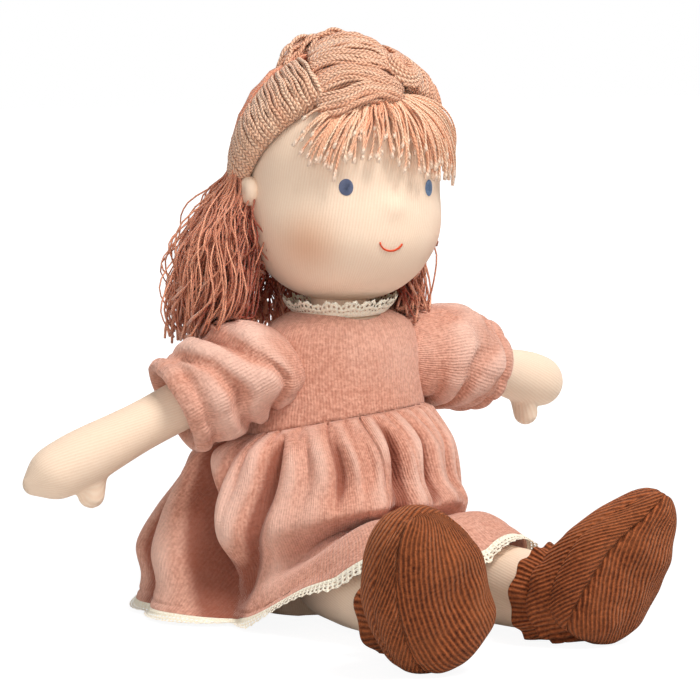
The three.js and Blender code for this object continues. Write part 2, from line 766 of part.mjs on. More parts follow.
const legGroups = {};
const shoeGroups = {};
for (const side of ['right', 'left']) {
  const { side: sign, splay, toeOut, toeDown } = legRest[side];
  const along = new THREE.Vector3(sign * Math.sin(splay), -Math.cos(splay), 0);
  const up = new THREE.Vector3(0, 0, 1);
  const across = up.clone().cross(along);
  legGroups[side] = addGroup(doll, hips[side], new THREE.Quaternion().setFromRotationMatrix(
    new THREE.Matrix4().makeBasis(across, up, along),
  ));
  // The foot stands up from the heel, with its toe turned out and pointed a little away
  const toe = new THREE.Vector3(sign * Math.sin(toeOut), 1, Math.sin(toeDown)).normalize();
  const outward = new THREE.Vector3(0, 0, 1).addScaledVector(toe, -toe.z).normalize();
  const width = toe.clone().cross(outward);
  const basis = new THREE.Matrix4().makeBasis(width, outward.clone().negate(), toe);
  const heel = new THREE.Vector3(0, -hips[side].z, legLength - soleDepth);
  shoeGroups[side] = addGroup(legGroups[side], heel, new THREE.Quaternion().setFromRotationMatrix(basis));
  const lowest = new THREE.Box3().setFromBufferAttribute(
    stuffed(shoeShares, shoeSize, shoeSides).applyMatrix4(shoeGroups[side].matrixWorld).attributes.position,
  ).min.z;
  shoeGroups[side].position.y -= lowest + flatDepth;
  shoeGroups[side].updateWorldMatrix(true, false);
}

function shoeForm(side, grow, sides = shoeSides) {
  return inFrameOf(shoeGroups[side], stuffed(shoeShares, shoeSize, sides, grow));
}

function legTube(side, grow, sides = legSides) {
  return inFrameOf(legGroups[side], limb(legShares, legSize, sides, grow));
}

function legSolid(side, grow) {
  const foot = shoeForm(side, grow - footInset, grow < 0 ? footInnerSides : footSides);
  const tube = legTube(side, grow, grow < 0 ? legInnerSides : legSides);
  return cut(tube.add(foot), floorBelow(Math.max(0, -grow)));
}

for (const side of ['right', 'left']) {
  const group = legGroups[side];
  const shoe = shoeGroups[side];
  const opening = inFrameOf(group, bar(armOpeningRadius, -2 * thighRadius, -thighRadius / 2, 8));
  addPiece(group, `${side}_leg_skin`, cut(legSolid(side, 0), legSolid(side, -skinWall), opening), knit);
  addPiece(group, `${side}_leg_filling`, legSolid(side, -skinWall - seamGap), stuffing);

  // Shoe: a sole and an upper that meet at a seam, and a gathered cuff round the ankle
  const far = 3 * shoeLength;
  const soleSpace = inFrameOf(shoe, block(-far, far, -far, -seamGap / 2, -far, far));
  const upperSpace = inFrameOf(shoe, block(-far, far, seamGap / 2, far, -far, far));
  const legRoom = legTube(side, seamGap);
  const shell = cut(shoeForm(side, 0), shoeForm(side, seamGap - footInset, footSides), legRoom, floorSlab);
  addPiece(shoe, `${side}_shoe_sole`, shell.intersect(soleSpace), corduroy);
  addPiece(shoe, `${side}_shoe_upper`, shell.intersect(upperSpace), corduroy);
  const cuffInner = ankleRadius + seamGap * 2;
  const cuffProfile = [
    [cuffInner, -cuffDepth],
    [cuffInner + 2 * clothWall, -cuffDepth],
    [cuffInner + 3 * clothWall, cuffDepth],
    [cuffInner, cuffDepth],
  ];
  const cuffRing = turned(cuffProfile, 10).translate(0, 0, legLength - instepDepth - soleDepth);
  const cuffSolid = inFrameOf(group, cuffRing);
  const cuffRoom = shoeForm(side, seamGap);
  addPiece(shoe, `${side}_shoe_cuff`, cut(cuffSolid, cuffRoom, legRoom, floorSlab), corduroy);
}

// Skirt: rings of reach and height shares, in sixteen directions from the front round the right side

const skirtReachShares = [
  [0.414, 0.423, 0.441, 0.477, 0.541, 0.577, 0.559, 0.495, 0.432, 0.432, 0.468, 0.477, 0.468, 0.441, 0.423, 0.414],
  [0.45, 0.468, 0.505, 0.577, 0.685, 0.721, 0.667, 0.595, 0.523, 0.541, 0.559, 0.541, 0.523, 0.468, 0.45, 0.45],
  [0.613, 0.63, 0.577, 0.613, 0.735, 0.755, 0.721, 0.667, 0.613, 0.613, 0.631, 0.613, 0.595, 0.559, 0.559, 0.631],
  [0.855, 0.945, 0.67, 0.649, 0.79, 0.79, 0.765, 0.739, 0.703, 0.703, 0.703, 0.703, 0.667, 0.667, 0.68, 0.83],
];
const skirtHeightShares = [
  [0.8, 0.785, 0.77, 0.77, 0.8, 0.82, 0.82, 0.81, 0.8, 0.8, 0.8, 0.8, 0.8, 0.77, 0.77, 0.785],
  [0.57, 0.55, 0.5, 0.475, 0.5, 0.55, 0.55, 0.525, 0.52, 0.52, 0.52, 0.52, 0.52, 0.55, 0.57, 0.57],
  [0.475, 0.51, 0.325, 0.2, 0.225, 0.275, 0.275, 0.25, 0.25, 0.25, 0.25, 0.25, 0.25, 0.25, 0.325, 0.51],
  [0.375, 0.49, 0.16, 0.05, 0.075, 0.06, 0.05, 0.05, 0.05, 0.05, 0.05, 0.05, 0.05, 0.05, 0.1, 0.475],
];
const skirtColumns = 44;
const skirtRows = 6;
const skirtGathers = 11;
const legCover = seamGap + clothWall + 1.2;
const hemLift = 1.1;

// How high cloth lies where it is tented over a leg
function legTop(x, y) {
  return Math.max(...['right', 'left'].map((side) => {
    const { splay } = legRest[side];
    const along = new THREE.Vector2(legRest[side].side * Math.sin(splay), -Math.cos(splay));
    const off = Math.abs((x - hips[side].x) * along.y - (y - hips[side].y) * along.x);
    const reach = thighRadius + legCover;
    const bend = reach * Math.SQRT1_2;
    return hips[side].z + (off < bend ? Math.sqrt(reach ** 2 - off ** 2) : 2 * bend - off);
  }));
}

function waistPoint(angle) {
  const form = torsoShares.find(([place]) => place * torsoHeight >= waistHeight);
  const grow = bodiceOuter;
  const x = -Math.sin(angle) * (form[1] * hipHalfWidth + grow + clothWall);
  const y = -Math.cos(angle) * ((Math.cos(angle) > 0 ? form[2] * bellyFront : form[3] * backDepth) + grow + clothWall);
  return new THREE.Vector3(x, y, waistHeight + waistSlopeX * x + waistSlopeY * y - seamGap);
}

// A point of the skirt's outer face: angle runs round from the front, share from the waist to the hem
function skirtPoint(angle, share) {
  const turn = angle / (2 * Math.PI);
  const waist = waistPoint(angle);
  const reaches = [Math.hypot(waist.x, waist.y), ...skirtReachShares.map((row) => smoothAt(row, turn, true) * skirtReach)];
  const heights = [waist.z, ...skirtHeightShares.map((row) => smoothAt(row, turn, true) * waistHeight)];
  const fold = gatherDepth * Math.sin(Math.PI * Math.min(1, share * 1.6)) * Math.cos(skirtGathers * angle);
  const reach = smoothAt(reaches, share) + fold;
  const waistAngle = Math.atan2(-waist.x, -waist.y);
  const blend = THREE.MathUtils.smoothstep(share, 0, 0.3);
  let twist = waistAngle - angle;
  twist = Math.atan2(Math.sin(twist), Math.cos(twist)) * (1 - blend);
  const x = -Math.sin(angle + twist) * reach;
  const y = -Math.cos(angle + twist) * reach;
  const z = Math.max(smoothAt(heights, share), share > 0.4 ? legTop(x, y) : 0, hemLift + clothWall);
  return new THREE.Vector3(x, y, z);
}

// A sheet from its outer points: each column goes down its outer face and back up its inner one
function sheetSolid(pointAt, columns, rows, wall) {
  const step = 0.01;
  const loops = [];
  for (let i = 0; i < columns; i += 1) {
    const angle = (i * 2 * Math.PI) / columns;
    const outer = [];
    const inner = [];
    for (let j = 0; j <= rows; j += 1) {
      const share = j / rows;
      const point = pointAt(angle, share);
      const along = pointAt(angle + step, share).sub(pointAt(angle - step, share));
      const down = pointAt(angle, Math.min(1, share + step)).sub(pointAt(angle, Math.max(0, share - step)));
      const normal = along.cross(down).normalize();
      const under = point.clone().addScaledVector(normal, wall);
      under.z = Math.max(under.z, hemLift);
      outer.push(point);
      inner.unshift(under);
    }
    loops.push([...outer, ...inner]);
  }
  return solidOf(loft(loops, true));
}

const skirtSheet = sheetSolid(skirtPoint, skirtColumns, skirtRows, clothWall);
const underSkirt = ['right', 'left'].map((side) => cut(legSolid(side, seamGap)));
addPiece(doll, 'dress_skirt', cut(
  skirtSheet, waistSpace(true, -seamGap), solidOf(torsoForm(seamGap)), ...underSkirt,
), velour);

// Hem lace: the skirt's surface carried on past its hem
function lacePoint(angle, share) {
  const hem = skirtPoint(angle, 1);
  const above = skirtPoint(angle, 1 - 1 / skirtRows);
  const out = hem.clone().sub(above).normalize();
  const start = seamGap * 2;
  const point = hem.clone().addScaledVector(out, start + share * hemLaceWidth);
  point.z = Math.max(point.z, hemLift + laceWall, legTop(point.x, point.y) - clothWall + laceWall);
  return point;
}
addPiece(doll, 'hem_lace', cut(sheetSolid(lacePoint, skirtColumns, 1, laceWall), skirtSheet, ...underSkirt), lace);

// Curtain of hair
const clearOfDress = ['right', 'left'].map((side) => {
  const reach = sleevePuffRadius + sleeveFoldDepth + seamGap;
  const length = sleeveLengths[side];
  return inFrameOf(armGroups[side], turned([
    [0, -sleeveRootRadius], [sleeveRootRadius + seamGap, -sleeveRootRadius], [reach, length * swellShare],
    [reach, length + seamGap], [0, length + seamGap],
  ], sleeveSides));
});
const hairRoom = solidOf(headForm(yarnInner + bandDepth + seamGap).applyMatrix4(headGroup.matrixWorld));
for (const [name, fromAngle, toAngle, tipShares, fullness] of [
  ['right_hair_lock', degrees(-112), degrees(-42), [0.24, 0.02], [0.7, 1]],
  ['back_hair', degrees(-41.5), degrees(41.5), [0.02, 0.02], [1, 0.83]],
  ['left_hair_lock', degrees(42), degrees(98), [0.02, 0.2], [0.83, 0.58]],
]) {
  addPiece(headGroup, name, cut(
    hairCurtain(fromAngle, toAngle, tipShares, fullness), dressRoom, hairRoom, ...clearOfDress, ...earRooms,
  ), yarn);
}

// The frame's origin is the middle of the seat, behind the neck's axis
doll.position.y = -seatSetback;
doll.updateMatrixWorld(true);

export default doll;
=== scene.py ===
# A seated rag doll: cloth body, yarn hair, gathered velour dress and corduroy shoes.
import bisect
import json
import math
import random

import bmesh
import bpy
from mathutils import Matrix, Vector, noise
from mathutils.bvhtree import BVHTree
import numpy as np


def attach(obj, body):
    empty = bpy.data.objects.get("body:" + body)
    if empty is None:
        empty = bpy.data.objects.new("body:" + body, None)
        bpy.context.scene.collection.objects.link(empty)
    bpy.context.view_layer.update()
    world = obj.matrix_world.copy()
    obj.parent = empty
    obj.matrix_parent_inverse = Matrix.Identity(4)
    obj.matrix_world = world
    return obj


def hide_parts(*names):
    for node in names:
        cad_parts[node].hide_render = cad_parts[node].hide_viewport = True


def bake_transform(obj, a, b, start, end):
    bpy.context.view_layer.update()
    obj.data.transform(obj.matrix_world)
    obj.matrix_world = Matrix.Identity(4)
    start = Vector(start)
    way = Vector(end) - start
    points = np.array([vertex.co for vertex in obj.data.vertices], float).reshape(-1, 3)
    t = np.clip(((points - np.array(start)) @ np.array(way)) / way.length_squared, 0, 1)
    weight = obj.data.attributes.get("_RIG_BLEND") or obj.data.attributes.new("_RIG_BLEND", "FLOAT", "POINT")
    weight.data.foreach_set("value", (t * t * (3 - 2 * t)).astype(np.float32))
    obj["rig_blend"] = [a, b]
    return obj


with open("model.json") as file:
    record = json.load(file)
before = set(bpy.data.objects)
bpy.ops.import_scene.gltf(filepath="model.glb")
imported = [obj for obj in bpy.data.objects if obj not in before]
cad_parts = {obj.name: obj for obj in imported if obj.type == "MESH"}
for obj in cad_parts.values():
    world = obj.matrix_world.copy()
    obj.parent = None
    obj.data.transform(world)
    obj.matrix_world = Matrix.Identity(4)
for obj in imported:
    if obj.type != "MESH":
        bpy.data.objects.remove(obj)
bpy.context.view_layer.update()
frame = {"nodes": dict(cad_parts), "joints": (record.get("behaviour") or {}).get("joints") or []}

mm = 0.001
tau = 2 * math.pi
joints = {joint["name"]: joint for joint in frame["joints"]}
neckPivot = Vector(joints["neck_nod"]["pos_m"]) / mm
axisFoot = Vector((neckPivot.x, neckPivot.y, 0))  # all places below are in millimetres from the foot of the neck's axis
sides = {"right": -1, "left": 1}


# Making meshes
def jointAt(name):
    return Vector(joints[name]["pos_m"]) / mm - axisFoot


def paint(red, green, blue):  # a colour as a screen shows it, from 0 to 255, turned into light
    return tuple((c / 255 / 12.92 if c <= 10 else ((c / 255 + 0.055) / 1.055) ** 2.4) for c in (red, green, blue)) + (1,)


def lerp(a, b, t):
    return a + (b - a) * t


def clamp(value, low=0.0, high=1.0):
    return max(low, min(high, value))


def ease(t):
    t = clamp(t)
    return t * t * (3 - 2 * t)


def rowAt(rows, share, closed=False):  # a smooth curve through evenly spaced rows of numbers
    count = len(rows)
    spot = share * (count if closed else count - 1)
    i = min(int(spot), count - 1 if closed else count - 2)
    t = spot - i

    def pick(k):
        return rows[k % count] if closed else rows[min(max(k, 0), count - 1)]

    a, b, c, d = pick(i - 1), pick(i), pick(i + 1), pick(i + 2)
    single = isinstance(b, (int, float))
    if single:
        a, b, c, d = (a,), (b,), (c,), (d,)
    out = [
        q + 0.5 * t * (r - p + t * (2 * p - 5 * q + 4 * r - s + t * (3 * (q - r) + s - p)))
        for p, q, r, s in zip(a, b, c, d)
    ]
    return out[0] if single else out


def sheetMesh(across, down, pointAt, size, weld=0.02):  # a grid wrapped over pointAt(u, v), with a UV map in millimetres
    bm = bmesh.new()
    layer = bm.loops.layers.uv.new("UVMap")
    bmesh.ops.create_grid(bm, x_segments=across, y_segments=down, size=0.5, calc_uvs=True)
    places = [bm.verts.layers.float.new(key) for key in ("acrossShare", "downShare")]
    for vert in bm.verts:
        vert[places[0]], vert[places[1]] = vert.co.x + 0.5, vert.co.y + 0.5
    for face in bm.faces:
        for loop in face.loops:
            loop[layer].uv = ((loop.vert.co.x + 0.5) * size[0], (loop.vert.co.y + 0.5) * size[1])
    for vert in bm.verts:
        vert.co = (pointAt(clamp(vert.co.x + 0.5), clamp(vert.co.y + 0.5)) + axisFoot) * mm
    bmesh.ops.remove_doubles(bm, verts=bm.verts, dist=weld * mm)
    bmesh.ops.dissolve_degenerate(bm, dist=weld * mm * 0.1, edges=bm.edges)
    return bm


def addPiece(name, bm, finish, thickness=0, outward=True, offset=-1.0):
    if outward:
        bmesh.ops.recalc_face_normals(bm, faces=bm.faces)
    mesh = bpy.data.meshes.new(name)
    bm.to_mesh(mesh)
    bm.free()
    return showMesh(name, mesh, finish, thickness, offset)


def showMesh(name, mesh, finish, thickness=0, offset=-1.0):
    piece = bpy.data.objects.new(name, mesh)
    bpy.context.scene.collection.objects.link(piece)
    mesh.materials.clear()
    mesh.materials.append(finish)
    mesh.shade_smooth()
    if thickness:
        wall = piece.modifiers.new("wall", "SOLIDIFY")
        wall.thickness = thickness * mm
        wall.offset = offset
    return piece


def settled(piece):  # the piece with its modifiers made real
    graph = bpy.context.evaluated_depsgraph_get()
    made = bpy.data.meshes.new_from_object(piece.evaluated_get(graph))
    piece.modifiers.clear()
    piece.data = made
    return piece


def roughness3(point, scale, seed=0):
    return noise.noise(Vector(point) * scale + Vector((seed, seed * 1.7, -seed)))


def mark(piece, name, valueAt):  # a number per vertex, worked out from its place in the grid
    data = piece.data.attributes
    shares = [(a.value, d.value) for a, d in zip(data["acrossShare"].data, data["downShare"].data)]
    data.new(name, "FLOAT", "POINT").data.foreach_set("value", [valueAt(u, v) for u, v in shares])


def surfaceOf(piece):  # a search tree over a piece, in millimetres from the neck's foot
    graph = bpy.context.evaluated_depsgraph_get()
    mesh = bpy.data.meshes.new_from_object(piece.evaluated_get(graph))
    corners = [v.co / mm - axisFoot for v in mesh.vertices]
    faces = [tuple(p.vertices) for p in mesh.polygons]
    bpy.data.meshes.remove(mesh)
    return BVHTree.FromPolygons(corners, faces)


# Finishes
class Field:  # a shader socket that works in a sum
    def __init__(self, finish, socket):
        self.finish = finish
        self.socket = socket

    def maths(self, operation, *values):
        return self.finish.node("ShaderNodeMath", {"operation": operation}, *values)

    def __add__(self, other):
        return self.maths("ADD", self, other)

    def __radd__(self, other):
        return self.maths("ADD", other, self)

    def __sub__(self, other):
        return self.maths("SUBTRACT", self, other)

    def __rsub__(self, other):
        return self.maths("SUBTRACT", other, self)

    def __mul__(self, other):
        return self.maths("MULTIPLY", self, other)

    def __rmul__(self, other):
        return self.maths("MULTIPLY", other, self)

    def __truediv__(self, other):
        return self.maths("DIVIDE", self, other)

    def __rtruediv__(self, other):
        return self.maths("DIVIDE", other, self)

    def __pow__(self, other):
        return self.maths("POWER", self, other)

    def __rpow__(self, other):
        return self.maths("POWER", other, self)

    def sine(self):
        return self.maths("SINE", self)

    def wrapped(self):
        return self.maths("FRACT", self)

    def size(self):
        return self.maths("ABSOLUTE", self)

    def over(self, level):
        return self.maths("GREATER_THAN", self, level)

    def ramp(self, low, high):  # 0 below low, 1 above high
        return self.finish.node("ShaderNodeMapRange", {"interpolation_type": "SMOOTHSTEP"}, self, low, high, 0.0, 1.0)


class Nodes:  # the nodes of one material or of the world
    def __init__(self, tree):
        self.tree = tree

    def feed(self, socket, value):
        if isinstance(value, Field):
            self.tree.links.new(value.socket, socket)
        elif value is not None:
            socket.default_value = value

    def node(self, kind, settings, *values, give=0, **named):
        made = self.tree.nodes.new(kind)
        for key, value in settings.items():
            setattr(made, key, value)
        for i, value in enumerate(values):
            self.feed(made.inputs[i], value)
        for key, value in named.items():
            self.feed(made.inputs[key.replace("_", " ")], value)
        if isinstance(give, (list, tuple)):
            return [Field(self, made.outputs[key]) for key in give]
        return Field(self, made.outputs[give])


class Finish(Nodes):
    def __init__(self, name, color, roughness=0.9, sheen=0.0):
        self.material = bpy.data.materials.new(name)
        self.material.use_nodes = True
        super().__init__(self.material.node_tree)
        self.surface = next(n for n in self.tree.nodes if n.type == "BSDF_PRINCIPLED")
        self.surface.inputs["Base Color"].default_value = color
        self.surface.inputs["Roughness"].default_value = roughness
        self.surface.inputs["Specular IOR Level"].default_value = 0.15
        if sheen:
            self.surface.inputs["Sheen Weight"].default_value = sheen
            self.surface.inputs["Sheen Roughness"].default_value = 0.4

    def place(self):
        return self.node("ShaderNodeTexCoord", {}, give="Object")

    def cloth(self):  # (across, along) in millimetres
        spot = self.node("ShaderNodeUVMap", {"uv_map": "UVMap"})
        return self.parts(spot)[:2]

    def parts(self, spot):
        return self.node("ShaderNodeSeparateXYZ", {}, spot, give=(0, 1, 2))

    def attribute(self, name):
        return self.node("ShaderNodeAttribute", {"attribute_name": name}, give="Fac")

    def grain(self, spot, scale, detail=2.0, stretch=None):
        if stretch:
            spot = self.node("ShaderNodeMapping", {}, Vector=spot, Scale=stretch)
        return self.node("ShaderNodeTexNoise", {}, Vector=spot, Scale=scale, Detail=detail, give=0)

    def blend(self, factor, first, second):
        unused = (None,) * 5  # the sockets for numbers and vectors
        return self.node("ShaderNodeMix", {"data_type": "RGBA"}, factor, *unused, first, second, give=2)

    def color(self, value):
        self.feed(self.surface.inputs["Base Color"], value)

    def raised(self, height, depth):  # depth in millimetres for a height of 1
        bump = self.node("ShaderNodeBump", {}, Strength=1.0, Distance=depth * mm, Height=height)
        self.feed(self.surface.inputs["Normal"], bump)

    def holes(self, solid):
        self.feed(self.surface.inputs["Alpha"], solid)


def knitFinish(name, settings, blushes=()):
    finish = Finish(name, settings["color"], 0.92, 0.15)
    across, along = finish.cloth()
    place = finish.place()
    wale = (((across + along * settings["slant"]) / settings["wale"]) * tau).sine() * 0.5 + 0.5
    course = (((along / settings["course"]) + wale * 0.35) * tau).sine() * 0.5 + 0.5
    fuzz = finish.grain(place, 900)
    finish.raised(wale * 0.7 + course * 0.1 + fuzz * 0.6, settings["depth"])
    tone = finish.blend(wale * 0.45 + fuzz * 0.35, settings["shade"], settings["color"])
    cloudy = finish.grain(place, 45)
    tone = finish.blend(cloudy.ramp(0.35, 0.75) * 0.25, tone, settings["warm"])
    for spot, reach, strength in blushes:
        away = finish.node("ShaderNodeVectorMath", {"operation": "DISTANCE"}, place, spot, give="Value")
        mask = (1 - away.ramp(0.0, reach * mm)) * strength
        tone = finish.blend(mask, tone, settings["blush"])
    finish.color(tone)
    return finish.material


knitSettings = {
    "color": paint(250, 228, 205),
    "shade": paint(238, 206, 178),
    "warm": paint(246, 214, 184),
    "blush": paint(212, 142, 98),
    "wale": 1.35,
    "slant": 0.2,
    "course": 1.0,
    "depth": 0.08,
}


def velourFinish(name, settings):
    finish = Finish(name, settings["color"], 0.88, 0.6)
    finish.surface.inputs["Sheen Tint"].default_value = settings["sheen"]
    across, along = finish.cloth()
    place = finish.place()
    wander = finish.grain(place, 60) * 2.2
    wale = ((across / settings["wale"] + wander) * tau).sine() * 0.5 + 0.5
    stitch = wale * 0.86 + (((along / settings["course"]) * tau).sine() * 0.5 + 0.5) * 0.14
    pile = finish.grain(place, 1100, 1.0)
    tufts = finish.grain(place, 420, 2.0)
    finish.raised(pile * 0.7 + tufts * 0.9 + stitch * 0.4, settings["depth"])
    ridge = finish.attribute("ridge")  # painted highlight: paler on the fold ridges; painted shade: darker in the creases
    nap = finish.grain(place, 30, 3.0)
    fine = finish.grain(place, 700, 1.0)
    tone = finish.blend(fine.ramp(0.3, 0.7) * 0.55 + stitch * 0.25 + tufts * 0.35, settings["shade"], settings["color"])
    tone = finish.blend(nap.ramp(0.4, 0.75) * 0.25, tone, settings["light"])
    # painted highlight on the ridges, then painted shade in the creases
    tone = finish.blend(ridge.ramp(0.1, 1.0) * 0.55, tone, settings["light"])
    tone = finish.blend((0 - ridge).ramp(0.1, 1.0) * 0.8, tone, settings["crease"])
    finish.color(tone)
    return finish.material


velourSettings = {
    "color": paint(226, 166, 142),
    "shade": paint(180, 116, 94),
    # light is both a random pale nap and the painted highlight on ridges; crease is painted shade in creases
    "light": paint(244, 206, 188),
    "crease": paint(136, 68, 48),
    "sheen": paint(250, 214, 200),
    "wale": 1.4,
    "course": 1.1,
    "depth": 0.5,
}


def yarnFinish(name, settings):
    finish = Finish(name, settings["color"], 0.6, 0.25)
    finish.surface.inputs["Specular IOR Level"].default_value = 0.35
    around = finish.parts(finish.node("ShaderNodeUVMap", {"uv_map": "UVMap"}))[1]
    along = finish.attribute("along")
    tone = finish.attribute("tone")
    hand = finish.attribute("hand")  # neighbours twist opposite ways, so that they lie like chain stitch
    twist = ((along / settings["pitch"] + around * hand) * tau * 2).sine() * 0.5 + 0.5  # two plies
    finish.raised(twist, settings["groove"])
    base = finish.blend(tone, settings["dark"], settings["color"])
    # painted shade in the grooves between the plies
    base = finish.blend((1 - twist.ramp(0.0, 0.6)) * settings["shade"], base, settings["deep"])
    base = finish.blend(finish.attribute("tip"), base, settings["light"])
    finish.color(base)
    return finish.material


yarnSettings = {
    "fringe": {
        "color": paint(255, 220, 186), "dark": paint(246, 174, 134), "deep": paint(186, 106, 72),
        "light": paint(255, 230, 206), "pitch": 3.6, "groove": 0.16, "shade": 0.38,
    },
    "crown": {
        "color": paint(255, 208, 174), "dark": paint(234, 170, 134), "deep": paint(128, 64, 40),
        "light": paint(250, 212, 184), "pitch": 3.8, "groove": 0.34, "shade": 0.6,
    },
    "band": {
        "color": paint(255, 212, 178), "dark": paint(242, 186, 150), "deep": paint(128, 66, 42),
        "light": paint(250, 208, 178), "pitch": 3.8, "groove": 0.36, "shade": 0.6,
    },
    "loose": {
        "color": paint(250, 172, 134), "dark": paint(154, 62, 40), "deep": paint(116, 46, 28),
        "light": paint(244, 190, 158), "pitch": 3.6, "groove": 0.14, "shade": 0.4,
    },
}


def corduroyFinish(name, settings):
    finish = Finish(name, settings["ridge"], 0.85, 0.35)
    finish.surface.inputs["Sheen Tint"].default_value = settings["sheen"]
    place = finish.place()
    wander = finish.grain(place, 90, 2.0) * 0.5
    rib = ((finish.attribute("ribCount") + wander) * tau).sine() * 0.5 + 0.5  # 1 on a ridge, 0 in a groove
    pile = finish.grain(place, 1300, 1.0)
    fibre = finish.grain(place, 620, 2.0)
    worn = finish.grain(place, 45, 3.0)
    finish.raised(pile * 0.7 + fibre * 1.0 + rib * 1.2, 0.6)
    ragged = rib + (fibre - 0.5) * 1.5 + (pile - 0.5) * 0.9
    # grooves painted dark and ridge tops pale: partly the corduroy's own ground and pile, partly painted shade in the
    # grooves and painted highlight on the ridges
    tone = finish.blend(ragged.ramp(-0.3, 0.6), settings["groove"], settings["middle"])
    tone = finish.blend(ragged.ramp(0.4, 1.3), tone, settings["ridge"])
    tone = finish.blend(worn.ramp(0.45, 0.75) * 0.3, tone, settings["worn"])
    finish.color(tone)
    return finish.material


corduroySettings = {
    "ridge": paint(180, 98, 56),
    "middle": paint(134, 70, 38),
    "groove": paint(80, 36, 17),
    "worn": paint(172, 100, 60),
    "sheen": paint(230, 160, 120),
}


def laceFinish(name, settings):
    finish = Finish(name, settings["color"], 0.9, 0.2)
    across, along = finish.cloth()
    place = finish.place()
    column = (across / settings["mesh"]).wrapped() - 0.5
    row = (along / settings["mesh"] + 0.5).wrapped() - 0.5
    hole = (column * column + row * row) ** 0.5
    body = hole.over(settings["hole"])
    firm = 1 - (along / settings["mesh"]).over(1.0)  # the sewn edge has no holes
    solid = body.maths("MAXIMUM", body, firm)
    scallop = ((across / settings["scallop"]).wrapped() - 0.5).size() * 2
    edge = settings["width"] - (scallop * scallop) * settings["dip"]
    inside = edge.maths("GREATER_THAN", edge, along)
    finish.holes(solid * inside)
    threads = finish.grain(place, 1500, 1.0)
    finish.raised(threads + hole.ramp(0.3, 0.6), 0.3)
    finish.color(finish.blend(threads.ramp(0.3, 0.7), settings["shade"], settings["color"]))
    return finish.material


knit = knitFinish("cottonKnit", knitSettings)
velour = velourFinish("pinkVelour", velourSettings)
corduroy = corduroyFinish("ribbedCorduroy", corduroySettings)
yarnOf = {key: yarnFinish(key + "Yarn", value) for key, value in yarnSettings.items()}
print("finishes ready")

# Body forms
headForm = {
    "height": 105, "halfWidth": 43, "front": 40, "back": 40, "chinLift": 6.5,
    "rows": [
        [0, 0, 0, 0], [0, 0.2, 0.215, 0.215], [0.025, 0.43, 0.462, 0.462], [0.07, 0.63, 0.677, 0.677],
        [0.14, 0.81, 0.85, 0.84], [0.24, 0.95, 0.98, 0.92], [0.34, 1, 1, 0.97], [0.47, 0.985, 0.965, 1],
        [0.6, 0.98, 0.965, 1], [0.72, 0.905, 0.9, 0.94], [0.83, 0.75, 0.755, 0.79], [0.92, 0.53, 0.535, 0.56],
        [0.975, 0.3, 0.3, 0.31], [1, 0.08, 0.08, 0.08], [1, 0, 0, 0],
    ],
}
turnAxis = Vector(joints["head_turn"]["axis"])
headPlace = Matrix.Translation(jointAt("neck_nod")) @ Vector((0, 0, 1)).rotation_difference(turnAxis).to_matrix().to_4x4()


def ovalPoint(form, u, v, grow=0):
    place, wide, front, back = rowAt(form["rows"], v)
    angle = u * tau
    x, y = math.sin(angle), math.cos(angle)  # u = 0 is at the back
    deep = form["back"] * back if y > 0 else form["front"] * front
    return Vector((
        (form["halfWidth"] * max(wide, 0) + grow) * x,
        (max(deep, 0) + grow) * y,
        place * (form["height"] + 2 * grow) - grow,
    ))


faceSpots = {
    "eyeX": 20.9, "eyeHeight": 56.2, "cheekX": 34, "cheekFront": 24.5, "cheekHeight": 31.5,
    "noseHeight": 48, "noseWidth": 4.4, "noseRise": 2.0,
}


def headPoint(u, v):
    point = ovalPoint(headForm, u, v)
    point += Vector((0, 0, headForm["chinLift"]))
    away = (point.x ** 2 + (point.z - faceSpots["noseHeight"]) ** 2) / faceSpots["noseWidth"] ** 2
    nose = faceSpots["noseRise"] * math.exp(-away) if point.y < 0 else 0
    soft = 1 + 0.008 * roughness3(point, 0.035, 3)
    return headPlace @ (point * soft + Vector((0, -nose, 0)))


def cheekPlace(sign):
    local = Vector((sign * faceSpots["cheekX"], -faceSpots["cheekFront"], faceSpots["cheekHeight"]))
    return ((headPlace @ local) + axisFoot) * mm


faceKnit = knitFinish("faceKnit", knitSettings, [(cheekPlace(-1), 21, 0.5), (cheekPlace(1), 21, 0.42)])
headSkin = addPiece("headSkin", sheetMesh(96, 90, headPoint, (270, 150)), faceKnit)
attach(headSkin, "head")
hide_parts("head_skin", "head_filling")
headTree = surfaceOf(headSkin)
headMiddle = headPlace @ Vector((0, 0, 55))


def onHead(direction, lift=0.0, start=None):
    start = headMiddle if start is None else start
    hit = headTree.ray_cast(start, direction.normalized())[0]
    if hit is None:
        return start + direction.normalized() * (headForm["halfWidth"] * 0.6 + lift)
    return hit + direction.normalized() * lift


torsoForm = {
    "height": 125.5, "halfWidth": 45, "front": 36, "back": 33, "thighTop": 42,
    "rows": [
        [0, 0, 0, 0], [0, 0.84, 0.8, 0.86], [0.06, 0.96, 0.94, 0.98], [0.18, 1.02, 1, 1.03], [0.33, 1, 1, 0.97],
        [0.48, 0.93, 0.93, 0.88], [0.62, 0.86, 0.78, 0.78], [0.76, 0.81, 0.68, 0.72], [0.88, 0.79, 0.62, 0.67],
        [0.95, 0.71, 0.55, 0.58], [0.985, 0.55, 0.47, 0.5], [1, 0.38, 0.4, 0.42], [1, 0, 0, 0],
    ],
}


def torsoPoint(u, v):
    point = ovalPoint(torsoForm, u, v)
    hip = jointAt("right_hip")
    if point.z < torsoForm["thighTop"] and point.y < 0:  # hollow where the thighs lie
        point.y = lerp(point.y, max(point.y, hip.y + 14), ease((torsoForm["thighTop"] - point.z) / 12))
    return point


torsoSkin = addPiece("torsoSkin", sheetMesh(64, 48, torsoPoint, (270, 190)), knit)
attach(torsoSkin, "torso")
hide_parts("torso_skin", "torso_filling")

neckForm = {"radius": 12.6, "low": -8, "high": 14}


def neckPoint(u, v):
    angle = u * tau
    z = lerp(neckForm["low"], neckForm["high"], v)
    return headPlace @ Vector((neckForm["radius"] * math.sin(angle), neckForm["radius"] * math.cos(angle), z))


